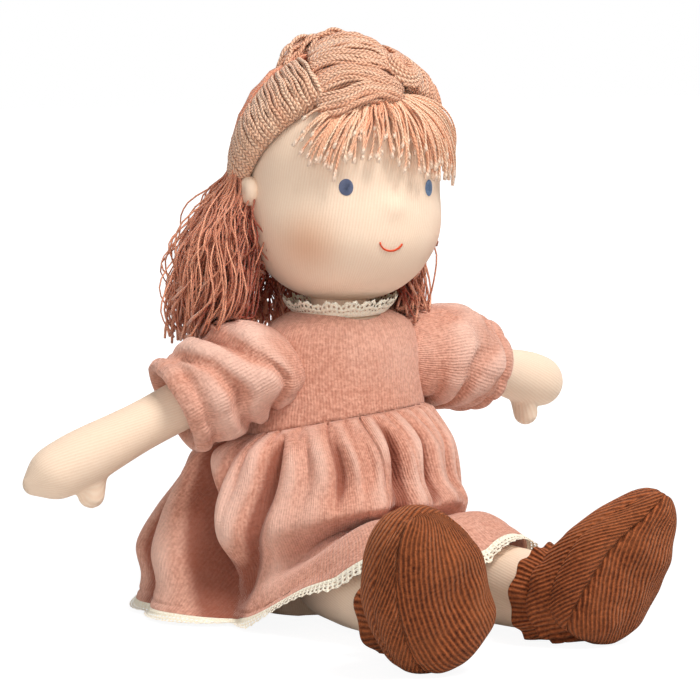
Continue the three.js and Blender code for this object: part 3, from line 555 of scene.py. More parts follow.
neckSkin = addPiece("neckSkin", sheetMesh(32, 6, neckPoint, (80, 24)), knit, 0.8)
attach(neckSkin, "neck")
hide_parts("neck_stem", "neck_tie")


# Limbs lie along local Z from the joint, with local Y up
def limbFrame(side, sweep, droop, joint):
    sign = sides[side]
    along = Vector((sign * math.cos(droop) * math.cos(sweep), math.cos(droop) * math.sin(sweep), -math.sin(droop)))
    up = (Vector((0, 0, 1)) + along * math.sin(droop)).normalized()
    across = up.cross(along)
    turn = Matrix((across, up, along)).transposed().to_4x4()
    return Matrix.Translation(jointAt(joint)) @ turn


def limbRadius(rows, length, radius, z):
    if z < 0:
        return math.sqrt(max(radius ** 2 - z ** 2, 0))
    return radius * rowAt(rows, clamp(z / length))


armForm = {
    "length": 110, "radius": 12, "rows": [1, 0.95, 0.92, 0.885, 0.86, 0.865, 0.92, 0.99, 1.0, 0.86, 0.22],
    "thumb": {"drop": 10.5, "place": 82, "radius": 5.8, "length": 12, "tilt": math.radians(-32)},
}
armFrames = {
    "right": limbFrame("right", math.radians(14.7), math.radians(26), "right_shoulder"),
    "left": limbFrame("left", math.radians(24.5), math.radians(12.5), "left_shoulder"),
}


def limbPoint(place, form, u, v, seed):
    z = lerp(-form["radius"], form["length"], v)
    reach = limbRadius(form["rows"], form["length"], form["radius"], z)
    if v >= 1:
        reach = 0
    point = Vector((reach * math.sin(u * tau), reach * math.cos(u * tau), z))
    point *= 1 + 0.012 * roughness3(point, 0.06, seed)
    return place @ point


def makeArm(side):
    place = armFrames[side]
    bm = sheetMesh(40, 80, lambda u, v: limbPoint(place, armForm, u, v, 5 + sides[side]), (75, 122))
    thumb = armForm["thumb"]
    turned = place @ Matrix.Translation((0, -thumb["drop"], thumb["place"])) @ Matrix.Rotation(thumb["tilt"], 4, "X")
    tip = bmesh.ops.create_uvsphere(bm, u_segments=20, v_segments=14, radius=thumb["radius"])["verts"]
    for vert in tip:
        vert.co.y += math.copysign(thumb["length"] / 2, vert.co.y) if abs(vert.co.y) > 0.01 else 0
        vert.co = (turned @ vert.co + axisFoot) * mm
    bmesh.ops.recalc_face_normals(bm, faces=bm.faces)
    mesh = bpy.data.meshes.new(side + "ArmSkin")
    bm.to_mesh(mesh)
    bm.free()
    arm = showMesh(side + "ArmSkin", mesh, knit)
    merge = arm.modifiers.new("merge", "REMESH")
    merge.mode = "VOXEL"
    merge.voxel_size = 1.0 * mm
    relax = arm.modifiers.new("relax", "SMOOTH")
    relax.iterations = 14
    settled(arm)
    clothMap(arm, place)
    arm.data.shade_smooth()
    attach(arm, side + "_arm")
    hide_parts(side + "_arm_skin", side + "_arm_filling")
    return arm


def clothMap(piece, place):  # a UV map round a limb: millimetres round it and along it
    bm = bmesh.new()
    bm.from_mesh(piece.data)
    layer = bm.loops.layers.uv.verify()
    back = place.inverted()
    for face in bm.faces:
        spots = [back @ (loop.vert.co / mm - axisFoot) for loop in face.loops]
        turns = [math.atan2(p.x, p.y) for p in spots]
        if max(turns) - min(turns) > math.pi:
            turns = [t + tau if t < 0 else t for t in turns]
        for loop, turn, spot in zip(face.loops, turns, spots):
            loop[layer].uv = (turn * armForm["radius"], spot.z)
    bm.to_mesh(piece.data)
    bm.free()
    piece.data.uv_layers[0].name = "UVMap"


for side in sides:
    makeArm(side)

legForm = {
    "length": 132, "end": {"right": 101, "left": 115}, "radius": 19,
    "rows": [1, 1, 1, 0.98, 0.95, 0.93, 0.9, 0.87, 0.85, 0.83, 0.6],
}
legRest = {
    "right": {"splay": math.radians(11), "toeOut": math.radians(25), "toeDown": math.radians(23)},
    "left": {"splay": math.radians(3), "toeOut": math.radians(33), "toeDown": math.radians(22)},
}
legFrames = {}
for side, sign in sides.items():
    splay = legRest[side]["splay"]
    along = Vector((sign * math.sin(splay), -math.cos(splay), 0))
    up = Vector((0, 0, 1))
    across = up.cross(along)
    turn = Matrix((across, up, along)).transposed().to_4x4()
    legFrames[side] = Matrix.Translation(jointAt(side + "_hip")) @ turn


def legPoint(side, u, v):
    point = limbPoint(legFrames[side], {**legForm, "length": legForm["end"][side]}, u, v, 11 + sides[side])
    point.z = max(point.z, 0.02)
    return point


for side in sides:
    leg = addPiece(side + "LegSkin", sheetMesh(48, 64, lambda u, v: legPoint(side, u, v), (120, 137)), knit)
    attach(leg, side + "_leg")
    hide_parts(side + "_leg_skin", side + "_leg_filling")
print("body forms ready")

# Shoes
shoeForm = {
    "length": 71, "halfWidth": 25.5, "sole": 12, "ribPitch": 1.72, "widen": 0.97,
    "pinch": {"right": 0.04, "left": 0.34},
    "seam": {"right": 0.24, "left": 0.3},
    "treadSlant": {"right": 0.06, "left": 0.34},
    "sideSlant": {"right": 0.5, "left": 0.66},
    "inset": {"right": -3, "left": 0},
    "shorten": {"right": 0.985, "left": 0.95},
    "rows": [  # place along the sole, half width, depth
        [0, 0, 0], [0, 0.28, 0.4], [0.03, 0.55, 0.64], [0.1, 0.78, 0.84], [0.22, 0.93, 0.97], [0.38, 1, 1],
        [0.55, 0.98, 1], [0.72, 0.88, 0.94], [0.86, 0.69, 0.76], [0.95, 0.46, 0.54], [1, 0.18, 0.26], [1, 0, 0],
    ],
}
soleDrop = 0.5


def solePoint(side, u, v):  # u runs across the sole from one edge seam to the other
    place, wide, deep = rowAt(shoeForm["rows"], v)
    wide *= 1 - shoeForm["pinch"][side] * ease((place - 0.5) / 0.5)
    x = -math.cos(math.pi * u) * max(wide, 0) * shoeForm["halfWidth"] * shoeForm["widen"]
    z = place * shoeForm["length"] * shoeForm["shorten"][side]
    return Vector((x, -max(deep, 0) * shoeForm["sole"] * math.sin(math.pi * u), z))


def shoeFrame(side):
    sign = sides[side]
    rest = legRest[side]
    toe = Vector((sign * math.sin(rest["toeOut"]), 1, math.sin(rest["toeDown"]))).normalized()
    outward = (Vector((0, 0, 1)) - toe * toe.z).normalized()
    width = toe.cross(outward)
    local = Matrix((width, -outward, toe)).transposed().to_4x4()
    heel = Vector((shoeForm["inset"][side], -jointAt(side + "_hip").z, legForm["length"] - shoeForm["sole"]))
    place = legFrames[side] @ Matrix.Translation(heel) @ local
    lowest = min((place @ solePoint(side, u / 16, v / 40)).z for u in range(17) for v in range(41))
    return Matrix.Translation((0, 0, -lowest - soleDrop)) @ place


shoeFrames = {side: shoeFrame(side) for side in sides}


def sole(side):
    place = shoeFrames[side]
    sign = sides[side]
    seamShare = shoeForm["seam"][side]  # where two panels of corduroy meet in a chevron

    def ribCount(u, v):
        toeward, wide, deep = rowAt(shoeForm["rows"], v)
        around = math.pi * math.sqrt(max((wide * shoeForm["halfWidth"]) ** 2 + (deep * shoeForm["sole"]) ** 2, 0) / 2)
        run = toeward * shoeForm["length"]
        fromSeam = (u - seamShare) * around
        slant = shoeForm["sideSlant" if fromSeam < 0 else "treadSlant"][side]
        spread = slant * run + math.sqrt(1 - slant ** 2) * abs(fromSeam)
        return spread / shoeForm["ribPitch"] + 0.3 * roughness3((u * 60, v * 70, sign * 9), 0.06, 21 + sign)

    def pointAt(u, v):
        near = solePoint(side, u, v)
        normal = Vector((near.x / shoeForm["halfWidth"] ** 2, near.y / shoeForm["sole"] ** 2, 0))
        normal = normal.normalized() if normal.length > 1e-6 else Vector((0, 0, 1))
        edge = math.sin(math.pi * u) ** 0.35 * clamp(min(v, 1 - v) * 12)
        inset = abs(u - seamShare) * math.pi * shoeForm["halfWidth"] * clamp(near.length)
        relief = 1.8 * roughness3(near, 0.09, 31 + sign) + 3.4 * roughness3(near, 0.042, 44 + sign)
        relief -= 1.6 * math.exp(-((inset / 1.3) ** 2))
        crease = 0.5 + 0.5 * math.sin(near.z * 0.75 + 3 * roughness3(near, 0.09, 61))  # puckers along the seam
        relief -= 1.2 * crease * math.exp(-((inset / 4.5) ** 2))
        point = place @ (near + normal * relief * edge)
        point.z = max(point.z, 0.0)
        return point

    piece = addPiece(side + "ShoeSole", sheetMesh(130, 90, pointAt, (90, 80)), corduroy)
    mark(piece, "ribCount", ribCount)
    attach(piece, side + "_leg")
    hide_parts(side + "_shoe_sole")


bagForm = {"mouth": 17.2, "mouthPlace": {"right": 98, "left": 112}, "swell": 5, "puckers": 11, "puckerDepth": 1.5}


def bagRim(side):  # the sole's edge, in the leg's own frame, ordered by its direction round the leg
    back = legFrames[side].inverted() @ shoeFrames[side]
    spots = [back @ solePoint(side, edge, k / 200) for edge in (0, 1) for k in range(201)]
    return sorted((math.atan2(spot.x, spot.y), spot) for spot in spots)


def upper(side):  # a bag from the sole's edge to the cuff, drawn in round the ankle
    rim = bagRim(side)
    angles = [angle for angle, _ in rim]
    soleTurn = (legFrames[side].inverted() @ shoeFrames[side]).to_3x3()
    behind = (soleTurn @ Vector((0, 1, 0))).normalized()  # from the sole towards the leg

    def rimAt(angle):
        i = bisect.bisect(angles, angle)
        (low, first), (high, last) = rim[i - 1], rim[i % len(rim)]
        gap = (high - low) % tau
        return first.lerp(last, clamp(((angle - low) % tau) / gap) if gap > 1e-9 else 0)

    def place(u, v):
        angle = lerp(-math.pi, math.pi, u)
        edge = rimAt(angle)
        radial = Vector((math.sin(angle), math.cos(angle), 0))
        mouth = radial * bagForm["mouth"] + Vector((0, 0, bagForm["mouthPlace"][side]))
        reach = (Vector((edge.x, edge.y, 0)).length - bagForm["mouth"]) / 40
        depth = 0.35 * (edge.z - bagForm["mouthPlace"][side]) + 12 * clamp(reach)
        first = edge + behind * depth + radial * 1.5
        second = mouth + radial * (bagForm["swell"] + 9 * clamp(reach)) + Vector((0, 0, 3))
        a, b, c, d = (1 - v) ** 3, 3 * v * (1 - v) ** 2, 3 * v * v * (1 - v), v ** 3
        return edge * a + first * b + second * c + mouth * d, radial

    def pointAt(u, v):
        point, radial = place(u, v)
        angle = lerp(-math.pi, math.pi, u)
        pucker = abs(math.cos(bagForm["puckers"] * angle / 2 + 1.3 * math.sin(2 * angle))) - 0.6
        relief = bagForm["puckerDepth"] * pucker * ease((v - 0.35) / 0.4)
        relief += 1.2 * roughness3(point, 0.07, 37) * math.sin(math.pi * v)
        relief -= 0.9 * math.exp(-((v / 0.03) ** 2))
        point = legFrames[side] @ (point + radial * relief)
        point.z = max(point.z, 0.05)
        return point

    piece = addPiece(side + "ShoeUpper", sheetMesh(180, 60, pointAt, (140, 40)), corduroy)
    slant = shoeForm["sideSlant"][side]
    grainWay = soleTurn @ Vector((-0.4, math.sqrt(1 - slant ** 2), slant))
    mark(piece, "ribCount", lambda u, v: place(u, v)[0].dot(grainWay) / shoeForm["ribPitch"])
    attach(piece, side + "_leg")
    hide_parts(side + "_shoe_upper")


cuffForm = {
    "radius": 17.2, "gathers": 13, "depth": 0.9, "wall": 1.0,
    "length": {"right": 12, "left": 8}, "flare": {"right": 6.5, "left": 3.6}, "fold": {"right": 5, "left": 0},
}


def cuffPoint(side, u, v):
    angle = u * tau
    ruffle = cuffForm["depth"] * v * math.cos(cuffForm["gathers"] * angle + 2 * math.sin(2 * angle))
    around = Vector((math.sin(angle), math.cos(angle), 0))
    outer = max((legFrames[side].to_3x3() @ around).x * sides[side], 0) ** 2
    fold = cuffForm["fold"][side] * outer  # the cuff hangs open on its outer side
    reach = cuffForm["radius"] + (cuffForm["flare"][side] + 0.6 * fold) * v ** 0.8 + ruffle
    along = bagForm["mouthPlace"][side] + 1 - (cuffForm["length"][side] + fold) * v
    point = legFrames[side] @ (around * reach + Vector((0, 0, along)))
    point.z = max(point.z, 0.1 + cuffForm["wall"])
    return point


for side in sides:
    sole(side)
    upper(side)
    cuffMesh = sheetMesh(156, 16, lambda u, v: cuffPoint(side, u, v), (115, 24))
    cuff = addPiece(side + "ShoeCuff", cuffMesh, corduroy, cuffForm["wall"])
    mark(cuff, "ribCount", lambda u, v: u * tau * cuffForm["radius"] / shoeForm["ribPitch"])
    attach(cuff, side + "_leg")
    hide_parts(side + "_shoe_cuff")
print("shoes ready")

# Dress
dress = {
    "ease": 1.9, "waist": 80.3, "slopeX": 0.092, "slopeY": -0.176, "neckRadius": 19.5, "wall": 1.2, "lap": 8,
    "seamRise": 0.25594, "lapFoot": 86, "swell": 5.5, "swellAt": 112, "swellHalf": 36,
}


def sideSwell(x, y):  # the stuffing pushes out at the back of the right side
    off = (math.degrees(math.atan2(-x, -y)) - dress["swellAt"]) / dress["swellHalf"]
    return dress["swell"] * math.exp(-(off ** 2)) if x < 0 else 0


def bodicePoint(u, v):
    def reachAt(share):
        point = ovalPoint(torsoForm, u, share, dress["ease"])
        return math.hypot(point.x, point.y), point

    low, high = 0.4, 0.98
    for _ in range(18):  # where the form meets the sloping waist
        middle = (low + high) / 2
        point = reachAt(middle)[1]
        under = point.z < dress["waist"] + dress["slopeX"] * point.x + dress["slopeY"] * point.y
        low, high = (middle, high) if under else (low, middle)
    start = low
    low, high = 0.7, 0.999
    for _ in range(18):  # where it meets the neckline
        middle = (low + high) / 2
        outside = reachAt(middle)[0] > dress["neckRadius"]
        low, high = (middle, high) if outside else (low, middle)
    point = reachAt(lerp(start, low, v))[1]
    wrinkle = 0.9 * roughness3(point, 0.045, 41) * math.sin(math.pi * v) + sideSwell(point.x, point.y) * (1 - v) ** 1.5
    if point.y > 0 and point.z > dress["lapFoot"]:  # the back closes with one edge lapped over the other
        lap = math.exp(-(((point.x - 1) / dress["lap"]) ** 6)) * ease((point.z - dress["lapFoot"]) / 6)
        wrinkle += 2.4 * lap
    return point + Vector((point.x, point.y, 0)).normalized() * wrinkle


bodice = addPiece("dressBodice", sheetMesh(128, 48, bodicePoint, (230, 60)), velour, dress["wall"])
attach(bodice, "torso")
# a slight painted shade over the whole bodice, through the crease colour
mark(bodice, "ridge", lambda u, v: -0.12)
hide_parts("dress_bodice")
for node in ("closure_loop_tape", "closure_hook_tape"):
    tape = frame["nodes"][node]
    tape.data.materials.clear()
    tape.data.materials.append(Finish(node + "Cloth", paint(238, 228, 216), 0.9).material)

sleeveForm = {
    "lengths": {"right": 38, "left": 33}, "root": -27,
    "profile": [8, 15, 18.4, 19.8, 20.8, 21.5, 21.7, 20.6, 19.4],
    "gathers": 9, "gatherDepth": 1.3, "ringDepth": 2.2, "hemTurn": 8, "turnAt": 0.8, "wall": 1.2,
}


def sleeveRelief(side, angle, z):  # how far the cloth stands out of its smooth form, in millimetres
    length = sleeveForm["lengths"][side]
    outer = clamp((z - sleeveForm["root"]) / (length - sleeveForm["root"]))
    folds = sleeveForm["gathers"] * angle + 1.5 * math.sin(3 * angle + sides[side])
    body = ease((z - sleeveForm["root"] - 10) / 12)
    depth = sleeveForm["gatherDepth"] * (0.3 + 0.7 * abs(outer - 0.5) / 0.5) * body
    relief = depth * (abs(math.cos(folds / 2)) ** 0.7 - 0.6)
    around = (math.sin(angle) * 14, math.cos(angle) * 14, z * 0.5)
    wander = 7 * roughness3(around, 0.055, 71) + 1.7 * sides[side]
    ring = math.sin(z * 0.36 + 0.9 * math.sin(angle + 0.6) + wander)  # cloth pushed up the arm
    heap = clamp(0.65 + 1.7 * roughness3(around, 0.08, 81), 0.05, 1.5)
    return relief + sleeveForm["ringDepth"] * heap * (1 - 2 * (0.5 - 0.5 * ring) ** 2.4) * body * ease((length - 8 - z) / 5)


def sleevePoint(side, u, v):
    length = sleeveForm["lengths"][side]
    angle = u * tau
    outer = clamp(v / sleeveForm["turnAt"])
    z = lerp(sleeveForm["root"], length, outer)
    reach = rowAt(sleeveForm["profile"], outer)
    if v > sleeveForm["turnAt"]:  # the hem turns in to the arm
        turn = (v - sleeveForm["turnAt"]) / (1 - sleeveForm["turnAt"])
        z = length - ease(turn) * sleeveForm["hemTurn"]
        reach = lerp(sleeveForm["profile"][-1] + 0.9, armForm["radius"] + 1.2, turn ** 0.7)
        z += 1.6 * math.sin(math.pi * clamp(turn * 1.6))
    reach += sleeveRelief(side, angle, z)
    if v <= sleeveForm["turnAt"]:
        reach += 1.7 * math.sin(math.pi * clamp((z - length + 7.4) / 8.4))  # the rolled hem and its stitching
        reach -= 1.3 * math.exp(-((z - length + 7.8) ** 2))
    reach += 1.1 * roughness3((math.sin(angle) * 20, math.cos(angle) * 20, z), 0.06, 51 + sides[side])
    point = armFrames[side] @ Vector((reach * math.sin(angle), reach * math.cos(angle), z))
    along = armFrames[side].to_3x3() @ Vector((0, 0, 1))
    bend = min(z + 4, 0)  # the root runs straight into the bodice
    return point + Vector((sides[side] * bend, -0.1 * bend, 0)) - along * bend


for side, sign in sides.items():
    sleeveMesh = sheetMesh(132, 56, lambda u, v: sleevePoint(side, u, v), (130, 60))
    sleeve = addPiece(side + "Sleeve", sleeveMesh, velour, sleeveForm["wall"])
    span = sleeveForm["lengths"][side] - sleeveForm["root"]
    # painted highlight on the raised folds, painted shade between them, and a slight painted lightening of the whole
    # sleeve
    mark(sleeve, "ridge", lambda u, v: clamp(
        sleeveRelief(side, u * tau, sleeveForm["root"] + span * clamp(v / sleeveForm["turnAt"])) / 3.2 + 0.25, -1, 1
    ))
    shoulder = jointAt(side + "_shoulder") + axisFoot
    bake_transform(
        sleeve, "torso", side + "_arm",
        start=(shoulder + Vector((-sign * 16, 0, 0))) * mm, end=(shoulder + Vector((sign * 8, 0, 0))) * mm,
    )
    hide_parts(side + "_sleeve")
    side + "ArmSkin"

skirtForm = {
    "gathers": 33, "wall": 1.2, "cover": 2.6, "hemLift": 1.2, "laceWidth": 6.6,
    "hollow": 113, "hollowHalf": 13, "hollowShade": 0.8, "clearOfBody": 64,
    "valleys": [  # angle at the waist and at the hem, half width, depth, and how far down it starts and ends
        [107, 74, 8.5, 20, 0.02, 1.2], [0, 17, 6, 9, 0.0, 0.72], [58, 75, 6, 9, 0.0, 0.95], [80, 96, 5, 5, 0.0, 0.5],
        [-19, -2, 6, 6, 0.0, 0.62], [30, 36, 4.5, 5, 0.0, 0.5], [44, 52, 4, 3.5, 0.0, 0.4], [16, 24, 4, 3, 0.0, 0.4],
        [119, 107, 5.5, 10, 0.03, 1.2], [143, 138, 9, 5.5, 0.02, 1.0], [168, 163, 9, 4.5, 0.1, 1.0],
        [192, 196, 10, 5.5, 0.02, 1.0], [222, 226, 9, 4.5, 0.1, 1.0], [250, 246, 9, 5.5, 0.02, 1.0],
        [276, 282, 10, 6, 0.02, 1.0], [304, 300, 7, 7, 0.0, 0.9], [324, 330, 5, 5, 0.0, 0.55],
    ],
    "reachRows": [  # one number per direction, from the front round by the right side
        [46, 48, 50, 53, 57, 59, 56, 51, 47, 47, 49, 49, 48, 46, 45, 45],
        [52, 55, 59, 62, 64, 66, 63, 57, 52, 53, 55, 55, 53, 50, 48, 50],
        [60, 64, 66, 68, 69, 76, 73, 66, 60, 60, 61, 61, 57, 52, 53, 57],
        [49, 50, 52, 62, 73, 85, 81, 73, 66, 66, 66, 66, 62, 56, 52, 50],
        [70, 76, 68, 66, 77, 84, 82, 77, 72, 72, 73, 72, 69, 66, 65, 72],
        [94, 104, 76, 73, 82, 87, 85, 82, 78, 78, 78, 78, 75, 74, 76, 91],
    ],
    "heightRows": [
        [75, 74, 72, 71, 71, 69, 68, 67, 67, 67, 67, 68, 70, 72, 73, 74],
        [60, 59, 56, 53, 54, 56, 55, 54, 54, 54, 54, 54, 55, 56, 58, 59],
        [50, 50, 44, 38, 39, 42, 41, 40, 40, 40, 40, 40, 40, 43, 47, 50],
        [40, 41, 31, 24, 25, 27, 26, 26, 26, 26, 26, 26, 27, 30, 36, 41],
        [45, 47, 27, 12, 12, 14, 13, 13, 13, 13, 13, 13, 14, 18, 28, 46],
        [34, 40, 13, 3, 4, 4, 4, 4, 4, 4, 4, 4, 4, 6, 10, 38],
    ],
}


def legTop(x, y):  # how high cloth lies where it is tented over a leg
    heights = []
    for side, sign in sides.items():
        hip = jointAt(side + "_hip")
        splay = legRest[side]["splay"]
        off = abs((x - hip.x) * -math.cos(splay) - (y - hip.y) * sign * math.sin(splay))
        reach = legForm["radius"] + skirtForm["cover"]
        bend = reach * math.sqrt(0.5)
        over = hip.z + (math.sqrt(reach ** 2 - off ** 2) if off < bend else 2 * bend - off)
        heights.append(over * ease((hip.y + 24 - y) / 22))  # not behind the hips
    return max(heights)


def waistPoint(angle):
    x = -math.sin(angle) * (0.86 * torsoForm["halfWidth"] + 1.6)
    y = -math.cos(angle) * ((0.78 * torsoForm["front"] if math.cos(angle) > 0 else 0.78 * torsoForm["back"]) + 1.6)
    place = Vector((x, y, dress["waist"] + dress["slopeX"] * x + dress["slopeY"] * y + dress["seamRise"]))
    return place + Vector((x, y, 0)).normalized() * sideSwell(x, y)


bodyTrees = [surfaceOf(bpy.data.objects[name]) for name in ("torsoSkin", "rightLegSkin", "leftLegSkin")]


def bodyReach(angle, z):  # how far the body reaches out in a direction, seen from outside the hips
    outward = Vector((-math.sin(angle), -math.cos(angle), 0))
    far = skirtForm["clearOfBody"]
    start = outward * far + Vector((0, 0, z))
    hits = [tree.ray_cast(start, -outward, far)[3] for tree in bodyTrees]
    return max((far - hit for hit in hits if hit is not None), default=0)


def skirtRelief(angle, share):  # how far the cloth stands out of its smooth form, in millimetres
    warp = 0.55 * math.sin(3 * angle + 0.8) + 0.4 * math.sin(5 * angle - 1.1)
    phase = skirtForm["gathers"] * angle / 2 + 1.8 * warp
    long = 0.5 + 0.5 * math.sin(2.3 * phase + 4 * math.sin(angle))  # some gathers run further down than others
    gather = (abs(math.cos(phase)) ** 0.7 - 0.6) * ease(share / 0.03)
    relief = (4.6 + 1.8 * long) * gather * (1 - share) ** lerp(3.4, 1.4, long)
    for top, bottom, half, depth, first, last in skirtForm["valleys"]:
        off = (math.degrees(angle) - lerp(top, bottom, share) + 180) % 360 - 180
        off /= half * (0.75 + 0.5 * share)
        fade = ease((share - first) / 0.2) * ease((last - share) / 0.2) * (1 - 0.55 * ease((share - 0.6) / 0.4))
        rim = 0.28 * math.exp(-((abs(off) - 1.7) ** 2) / 0.9) * (1 - 0.7 * share)
        relief += depth * fade * (rim - math.exp(-1.5 * abs(off) ** 1.35))
    return relief


def skirtPoint(angle, share):  # angle runs round from the front by the right side, share from the waist to the hem
    turn = (angle / tau) % 1.0
    waist = waistPoint(angle)
    reaches = [math.hypot(waist.x, waist.y)] + [rowAt(row, turn, True) for row in skirtForm["reachRows"]]
    heights = [waist.z] + [rowAt(row, turn, True) for row in skirtForm["heightRows"]]
    reach = rowAt(reaches, share) + skirtRelief(angle, share) + 1.5 * ease(share * 3)
    reach -= 0.7 * math.exp(-(((share - 0.93) / 0.012) ** 2))  # the hem's stitching
    rumple = roughness3((math.sin(angle) * 60, math.cos(angle) * 60, share * 50), 0.05, 61)
    reach += 2.2 * rumple * ease(share * 2) * (1 - 0.6 * share)
    if share < 0.6:
        height = max(rowAt(heights, share), torsoForm["thighTop"])
        reach = max(reach, bodyReach(angle, height) + 1.6 + skirtForm["wall"])
    waistAngle = math.atan2(-waist.x, -waist.y)
    twist = waistAngle - angle
    twist = math.atan2(math.sin(twist), math.cos(twist)) * (1 - ease(share / 0.3))
    x, y = -math.sin(angle + twist) * reach, -math.cos(angle + twist) * reach
    lowest = legTop(x, y) if share > 0.4 else 0
    z = max(rowAt(heights, share), lowest, skirtForm["hemLift"] + skirtForm["wall"])
    return Vector((x, y, z))


def deepShade(angle, share):  # painted shadow: the skirt is darker in the hollow under the right arm
    off = (math.degrees(angle) - skirtForm["hollow"]) / skirtForm["hollowHalf"]
    return skirtForm["hollowShade"] * math.exp(-(off ** 2)) * ease((0.8 - share) / 0.5)


def halfSkirt(name, first, last, side):
    span = last - first
    bm = sheetMesh(190, 84, lambda u, v: skirtPoint(first + span * u, v), (290, 92))
    piece = addPiece(name, bm, velour, skirtForm["wall"], outward=False)
    # painted highlight on gathers and folds, painted shade in the valleys, the painted shadow under the right arm, and
    # a slight painted lightening of the whole skirt
    mark(piece, "ridge", lambda u, v: clamp(
        skirtRelief(first + span * u, v) / 4 + 0.12 - deepShade(first + span * u, v), -1, 1
    ))
    hip = jointAt(side + "_hip") + axisFoot
    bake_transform(piece, "torso", side + "_leg", start=(hip + Vector((0, -14, 26))) * mm, end=(hip + Vector((0, -52, 12))) * mm)
    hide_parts("dress_skirt")
    return piece


splitAngle = math.radians(13)  # the deep front fold, between the legs
halfSkirt("skirtRight", splitAngle, splitAngle + math.pi, "right")
halfSkirt("skirtLeft", splitAngle + math.pi, splitAngle + tau, "left")

laceFinishOf = {
    "color": paint(255, 250, 232), "shade": paint(250, 236, 208), "mesh": 2.1, "hole": 0.25,
    "scallop": 4.2, "width": 6.4, "dip": 1.3,
}


def hemLacePoint(angle, share):
    hem, above = skirtPoint(angle, 1), skirtPoint(angle, 0.94)
    out = (hem - above).normalized()
    point = hem + out * share * (skirtForm["laceWidth"] + 0.8)
    droop = 1.2 * share * math.sin(9 * angle)
    z = max(point.z + droop, skirtForm["hemLift"], legTop(point.x, point.y) - 1.4)
    return Vector((point.x, point.y, z))


def halfLace(name, first, last, side):
    span = last - first
    bm = sheetMesh(260, 6, lambda u, v: hemLacePoint(first + span * u, v), (310, 6.4))
    piece = addPiece(name, bm, laceFinish(name + "Finish", laceFinishOf), outward=False)
    hip = jointAt(side + "_hip") + axisFoot
    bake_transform(piece, "torso", side + "_leg", start=(hip + Vector((0, -14, 26))) * mm, end=(hip + Vector((0, -52, 12))) * mm)
    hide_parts("hem_lace")


halfLace("hemLaceRight", splitAngle, splitAngle + math.pi, "right")
halfLace("hemLaceLeft", splitAngle + math.pi, splitAngle + tau, "left")

collarForm = {"radius": 19.2, "low": 126, "height": 7.2, "flare": 5.0, "ruffles": 14, "depth": 1.2}


def collarPoint(u, v):
    angle = u * tau
    ruffle = collarForm["depth"] * v * math.cos(collarForm["ruffles"] * angle + 2 * math.sin(2 * angle))
    reach = collarForm["radius"] + collarForm["flare"] * math.sin(v * math.pi * 0.5) + ruffle
    z = collarForm["low"] + collarForm["height"] * v + ruffle * 0.8
    x, y = reach * math.sin(angle), reach * math.cos(angle)
    return Vector((x, y, z + 0.03 * x))


collarMesh = sheetMesh(220, 8, collarPoint, (150, 6.4))
collarLace = addPiece("collarLace", collarMesh, laceFinish("collarLaceFinish", laceFinishOf))
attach(collarLace, "torso")
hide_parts("collar_lace")
print("dress ready")

# Face
eyeForm = {"halfWidth": 2.7, "halfHeight": 3.5, "rise": 0.7}
threadBlue = Finish("blueThread", paint(116, 126, 156), 0.55)
threadPale = Finish("paleBlueThread", paint(132, 160, 200), 0.5)
for finish in (threadBlue, threadPale):
    across, along = finish.cloth()
    stitches = ((across / 0.45 + along * 0.12) * tau).sine() * 0.5 + 0.5
    finish.raised(stitches, 0.2)
    base = tuple(finish.surface.inputs["Base Color"].default_value)
    finish.color(finish.blend(stitches, tuple(c * 0.62 for c in base[:3]) + (1,), base))


def eyePoint(sign, u, v):
    angle = u * tau
    reach = math.sin(v * math.pi / 2)
    x = sign * faceSpots["eyeX"] + eyeForm["halfWidth"] * reach * math.cos(angle)
    z = faceSpots["eyeHeight"] + eyeForm["halfHeight"] * reach * math.sin(angle)
    start = headPlace @ Vector((x, 0, z))
    front = (headPlace.to_3x3() @ Vector((0, -1, 0))).normalized()
    hit = headTree.ray_cast(start, front)[0] or start
    return hit + front * (eyeForm["rise"] * math.cos(v * math.pi / 2) + 0.12)


for side, sign in sides.items():
    finish = threadBlue if side == "right" else threadPale
    eyeMesh = sheetMesh(28, 8, lambda u, v: eyePoint(sign, u, v), (16, 6))
    eye = addPiece(side + "Eye", eyeMesh, finish.material, outward=False)
    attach(eye, "head")
    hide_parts(side + "_eye")

earForm = {"reach": 4.4, "halfDepth": 5.6, "halfHeight": 6.4, "setback": 7, "height": 52.5}
for side, sign in sides.items():
    bm = bmesh.new()
    bmesh.ops.create_uvsphere(bm, u_segments=32, v_segments=20, radius=1, calc_uvs=True)
    bm.loops.layers.uv.verify()
    for vert in bm.verts:
        fold = 1 - 0.35 * math.exp(-((vert.co.y ** 2 + vert.co.z ** 2) / 0.25)) * max(vert.co.x * sign, 0)
        local = Vector((
            sign * headForm["halfWidth"] + vert.co.x * earForm["reach"] * fold,
            earForm["setback"] + vert.co.y * earForm["halfDepth"],
            earForm["height"] + vert.co.z * earForm["halfHeight"],
        ))
        vert.co = (headPlace @ local + axisFoot) * mm
    ear = addPiece(side + "Ear", bm, knit)
    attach(ear, "head")
    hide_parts(side + "_ear")


